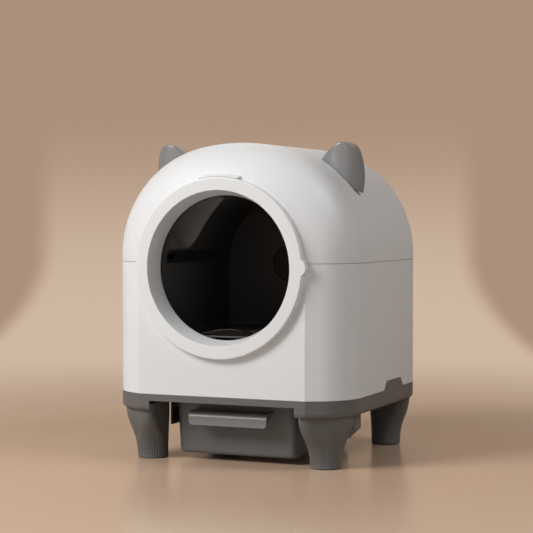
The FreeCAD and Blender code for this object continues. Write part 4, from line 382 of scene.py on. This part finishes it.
def rear_leg_rings(node, pad):
    """Rings of the right rear leg from the recess of its foot pad, round the rim and up to its top."""
    low, high = (Vector(corner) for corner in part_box(node))
    pad_low, pad_high = (Vector(corner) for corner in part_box(pad))
    centre = (pad_low + pad_high) / 2
    recess = (pad_high.x - pad_low.x) / 2 + PAD_FIT
    outer = leg_ring(centre, low, high, 0, RIM_ROUND)
    inner = []
    for x, y in outer:
        away = Vector((x - centre.x, y - centre.y)).normalized() * recess
        inner.append((centre.x + away.x, centre.y + away.y))
    bottom, full = LEG_FLARE[0][0], LEG_FLARE[-1][0]
    rings = [(inner, pad_high.z), (inner, bottom), (outer, bottom)]
    for stage in range(len(LEG_FLARE) - 1):
        for step in range(STAGE_STEPS):
            part = step / STAGE_STEPS
            height = between(LEG_FLARE[stage][0], LEG_FLARE[stage + 1][0], part)
            if height > bottom:
                rings.append((leg_ring(centre, low, high, flare_at(stage, part)), height))
    top = leg_ring(centre, low, high, 1)
    return rings + [(top, full), (top, high.z)]


def make_rear_leg(side):
    """Flared rear leg with an outline that turns all corners smoothly."""
    mirror = 1 if side == "right" else -1
    work = bmesh.new()
    rows = [[work.verts.new((mirror * x, y, height)) for x, y in points]
            for points, height in rear_leg_rings("leg_rear_right", "foot_pad_rear_right")]
    for lower, upper in zip(rows, rows[1:]):
        for index in range(len(lower)):
            work.faces.new((lower[index - 1], lower[index], upper[index], upper[index - 1]))
    work.faces.new(rows[0])
    work.faces.new(rows[-1])
    bmesh.ops.remove_doubles(work, verts=work.verts, dist=SAME_POINT)
    bmesh.ops.recalc_face_normals(work, faces=work.faces)
    leg = add_object("rear_leg_" + side, work)
    leg.data.shade_smooth()
    leg.data.set_sharp_from_angle(angle=SHARP_ANGLE)
    leg.data.materials.append(SLOTS["grey_plastic"])
    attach(leg, "housing")
    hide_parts("leg_rear_" + side)


# Studio. The view's turn about the upright axis sets the directions of the backdrop.
VIEW_TURN = math.radians(23.16)
ACROSS = (math.cos(VIEW_TURN), math.sin(VIEW_TURN), 0)
TOWARDS = (math.sin(VIEW_TURN), -math.cos(VIEW_TURN), 0)

# Backdrop, by the line of sight of length 1: its parts downwards, to the side and along the view.
WALL_COLOUR = (0.405, 0.278, 0.195)
GLOW_COLOUR = (0.62, 0.475, 0.36)
GLOW_CENTRE = -0.006
GLOW_HALF_WIDTH = 0.134
GLOW_EDGE = 0.010
GLOW_FADE = (-0.075, 0.06)
GLOW_FACING = (0.93, 0.962)
FLARE_STARTS = 0.02
FLARE_GROWS = 9.6

FLOOR_COLOUR = (0.74, 0.515, 0.36)
FLOOR_DARKEST = 0.985
FLOOR_PATCHES = (1.5, 0)
FLOOR_ROUGHNESS = 0.22
FLOOR_HALF_SIZE = 60
FLOOR_FADE = (0.45, 2.3)
BOUNCE_COLOUR = (0.52, 0.465, 0.42)

AMBIENT = 0.06
AMBIENT_COLOUR = (1.0, 0.98, 0.96)
AIM = (0, 0, 0.33)
COOL = (0.985, 0.993, 1)
LAMPS = (
    # name, place, width and height, power in watts, colour
    ("key", (-1.7, -2.5, 2.25), (1.5, 1.5), 102, COOL),
    ("front", (0.4, -3.4, 0.9), (1.2, 0.9), 6, COOL),
    ("side", (2.3, -0.3, 2.7), (1.4, 1.4), 31, (0.97, 0.985, 1)),
    ("back", (-1.0, 2.6, 2.4), (1.8, 1.2), 8, (1, 0.96, 0.92)),
)

# Lens and sensor are in millimetres.
CAMERA_PLACE = (1.2947, -3.0389, 0.4957)
CAMERA_PITCH = math.radians(88.19)
LENS_LENGTH = 105.66
SENSOR_WIDTH = 36


def part_along(tree, vector, direction):
    """Length of a vector socket along a fixed direction."""
    node = tree.nodes.new("ShaderNodeVectorMath")
    node.operation = "DOT_PRODUCT"
    tree.links.new(vector, node.inputs[0])
    node.inputs[1].default_value = direction
    return node.outputs["Value"]


def backdrop_colour(tree):
    """Warm backdrop with a pool of light that is brightest low down and ends at both sides."""
    sight = tree.nodes.new("ShaderNodeNewGeometry").outputs["Incoming"]
    parts = tree.nodes.new("ShaderNodeSeparateXYZ")
    tree.links.new(sight, parts.inputs["Vector"])
    down = parts.outputs["Z"]
    off_centre = calculate(tree, "ADD", part_along(tree, sight, ACROSS), GLOW_CENTRE)
    below = calculate(tree, "MAXIMUM", calculate(tree, "SUBTRACT", down, FLARE_STARTS), 0)
    flare = product(tree, below, below, FLARE_GROWS)
    beyond = calculate(tree, "SUBTRACT", calculate(tree, "ABSOLUTE", off_centre), flare)
    outside = ramp(tree, beyond, GLOW_HALF_WIDTH - GLOW_EDGE, GLOW_HALF_WIDTH + GLOW_EDGE)
    inside = calculate(tree, "SUBTRACT", 1, outside)
    low_down = ramp(tree, down, *GLOW_FADE)
    behind = ramp(tree, part_along(tree, sight, TOWARDS), *GLOW_FACING)
    return mix_colours(tree, product(tree, inside, low_down, behind), WALL_COLOUR, GLOW_COLOUR)


def make_floor():
    """Satin floor that passes into the backdrop some way out and throws back a more neutral light."""
    work = bmesh.new()
    bmesh.ops.create_grid(work, x_segments=1, y_segments=1, size=FLOOR_HALF_SIZE)
    floor = add_object("floor", work)
    material, tree, shader = new_material("floor_satin")
    patches = mix_colours(tree, noise(tree, *FLOOR_PATCHES), shaded(FLOOR_COLOUR, FLOOR_DARKEST),
                          FLOOR_COLOUR)
    tree.links.new(mix_colours(tree, seen_rays(tree), BOUNCE_COLOUR, patches),
                   shader.inputs["Base Color"])
    shader.inputs["Roughness"].default_value = FLOOR_ROUGHNESS
    distance = tree.nodes.new("ShaderNodeVectorMath")
    distance.operation = "LENGTH"
    tree.links.new(object_place(tree), distance.inputs[0])
    glow = tree.nodes.new("ShaderNodeEmission")
    tree.links.new(backdrop_colour(tree), glow.inputs["Color"])
    blend = tree.nodes.new("ShaderNodeMixShader")
    fade = ramp(tree, distance.outputs["Value"], *FLOOR_FADE)
    tree.links.new(product(tree, fade, seen_rays(tree)), blend.inputs["Fac"])
    tree.links.new(shader.outputs["BSDF"], blend.inputs[1])
    tree.links.new(glow.outputs["Emission"], blend.inputs[2])
    tree.links.new(blend.outputs["Shader"], tree.nodes["Material Output"].inputs["Surface"])
    floor.data.materials.append(material)


def make_world():
    """Even studio light, with a warm backdrop that only the camera and reflections see."""
    world = bpy.data.worlds.new("studio")
    bpy.context.scene.world = world
    world.use_nodes = True
    tree = world.node_tree
    light = tree.nodes["Background"]
    light.inputs["Color"].default_value = (*AMBIENT_COLOUR, 1)
    light.inputs["Strength"].default_value = AMBIENT
    backdrop = tree.nodes.new("ShaderNodeBackground")
    tree.links.new(backdrop_colour(tree), backdrop.inputs["Color"])
    pick = tree.nodes.new("ShaderNodeMixShader")
    tree.links.new(seen_rays(tree), pick.inputs["Fac"])
    tree.links.new(light.outputs["Background"], pick.inputs[1])
    tree.links.new(backdrop.outputs["Background"], pick.inputs[2])
    tree.links.new(pick.outputs["Shader"], tree.nodes["World Output"].inputs["Surface"])


def area_light(name, place, size, power, colour):
    """Soft rectangular lamp aimed at the middle of the box, which the camera doesn't see."""
    lamp = bpy.data.lights.new(name, "AREA")
    lamp.shape = "RECTANGLE"
    lamp.size, lamp.size_y = size
    lamp.energy = power
    lamp.color = colour
    obj = bpy.data.objects.new(name, lamp)
    obj.location = place
    obj.rotation_euler = (Vector(AIM) - Vector(place)).to_track_quat("-Z", "Y").to_euler()
    obj.visible_camera = False
    bpy.context.scene.collection.objects.link(obj)


def make_camera():
    """The photograph's own view."""
    camera = bpy.data.cameras.new("camera")
    camera.lens = LENS_LENGTH
    camera.sensor_width = SENSOR_WIDTH
    obj = bpy.data.objects.new("camera", camera)
    obj.location = CAMERA_PLACE
    obj.rotation_euler = (CAMERA_PITCH, 0, VIEW_TURN)
    bpy.context.scene.collection.objects.link(obj)
    bpy.context.scene.camera = obj


bpy.context.scene.view_settings.view_transform = "Standard"
dress_nodes()
for leg_side in ("left", "right"):
    make_rear_leg(leg_side)
make_floor()
make_world()
for settings in LAMPS:
    area_light(*settings)
make_camera()
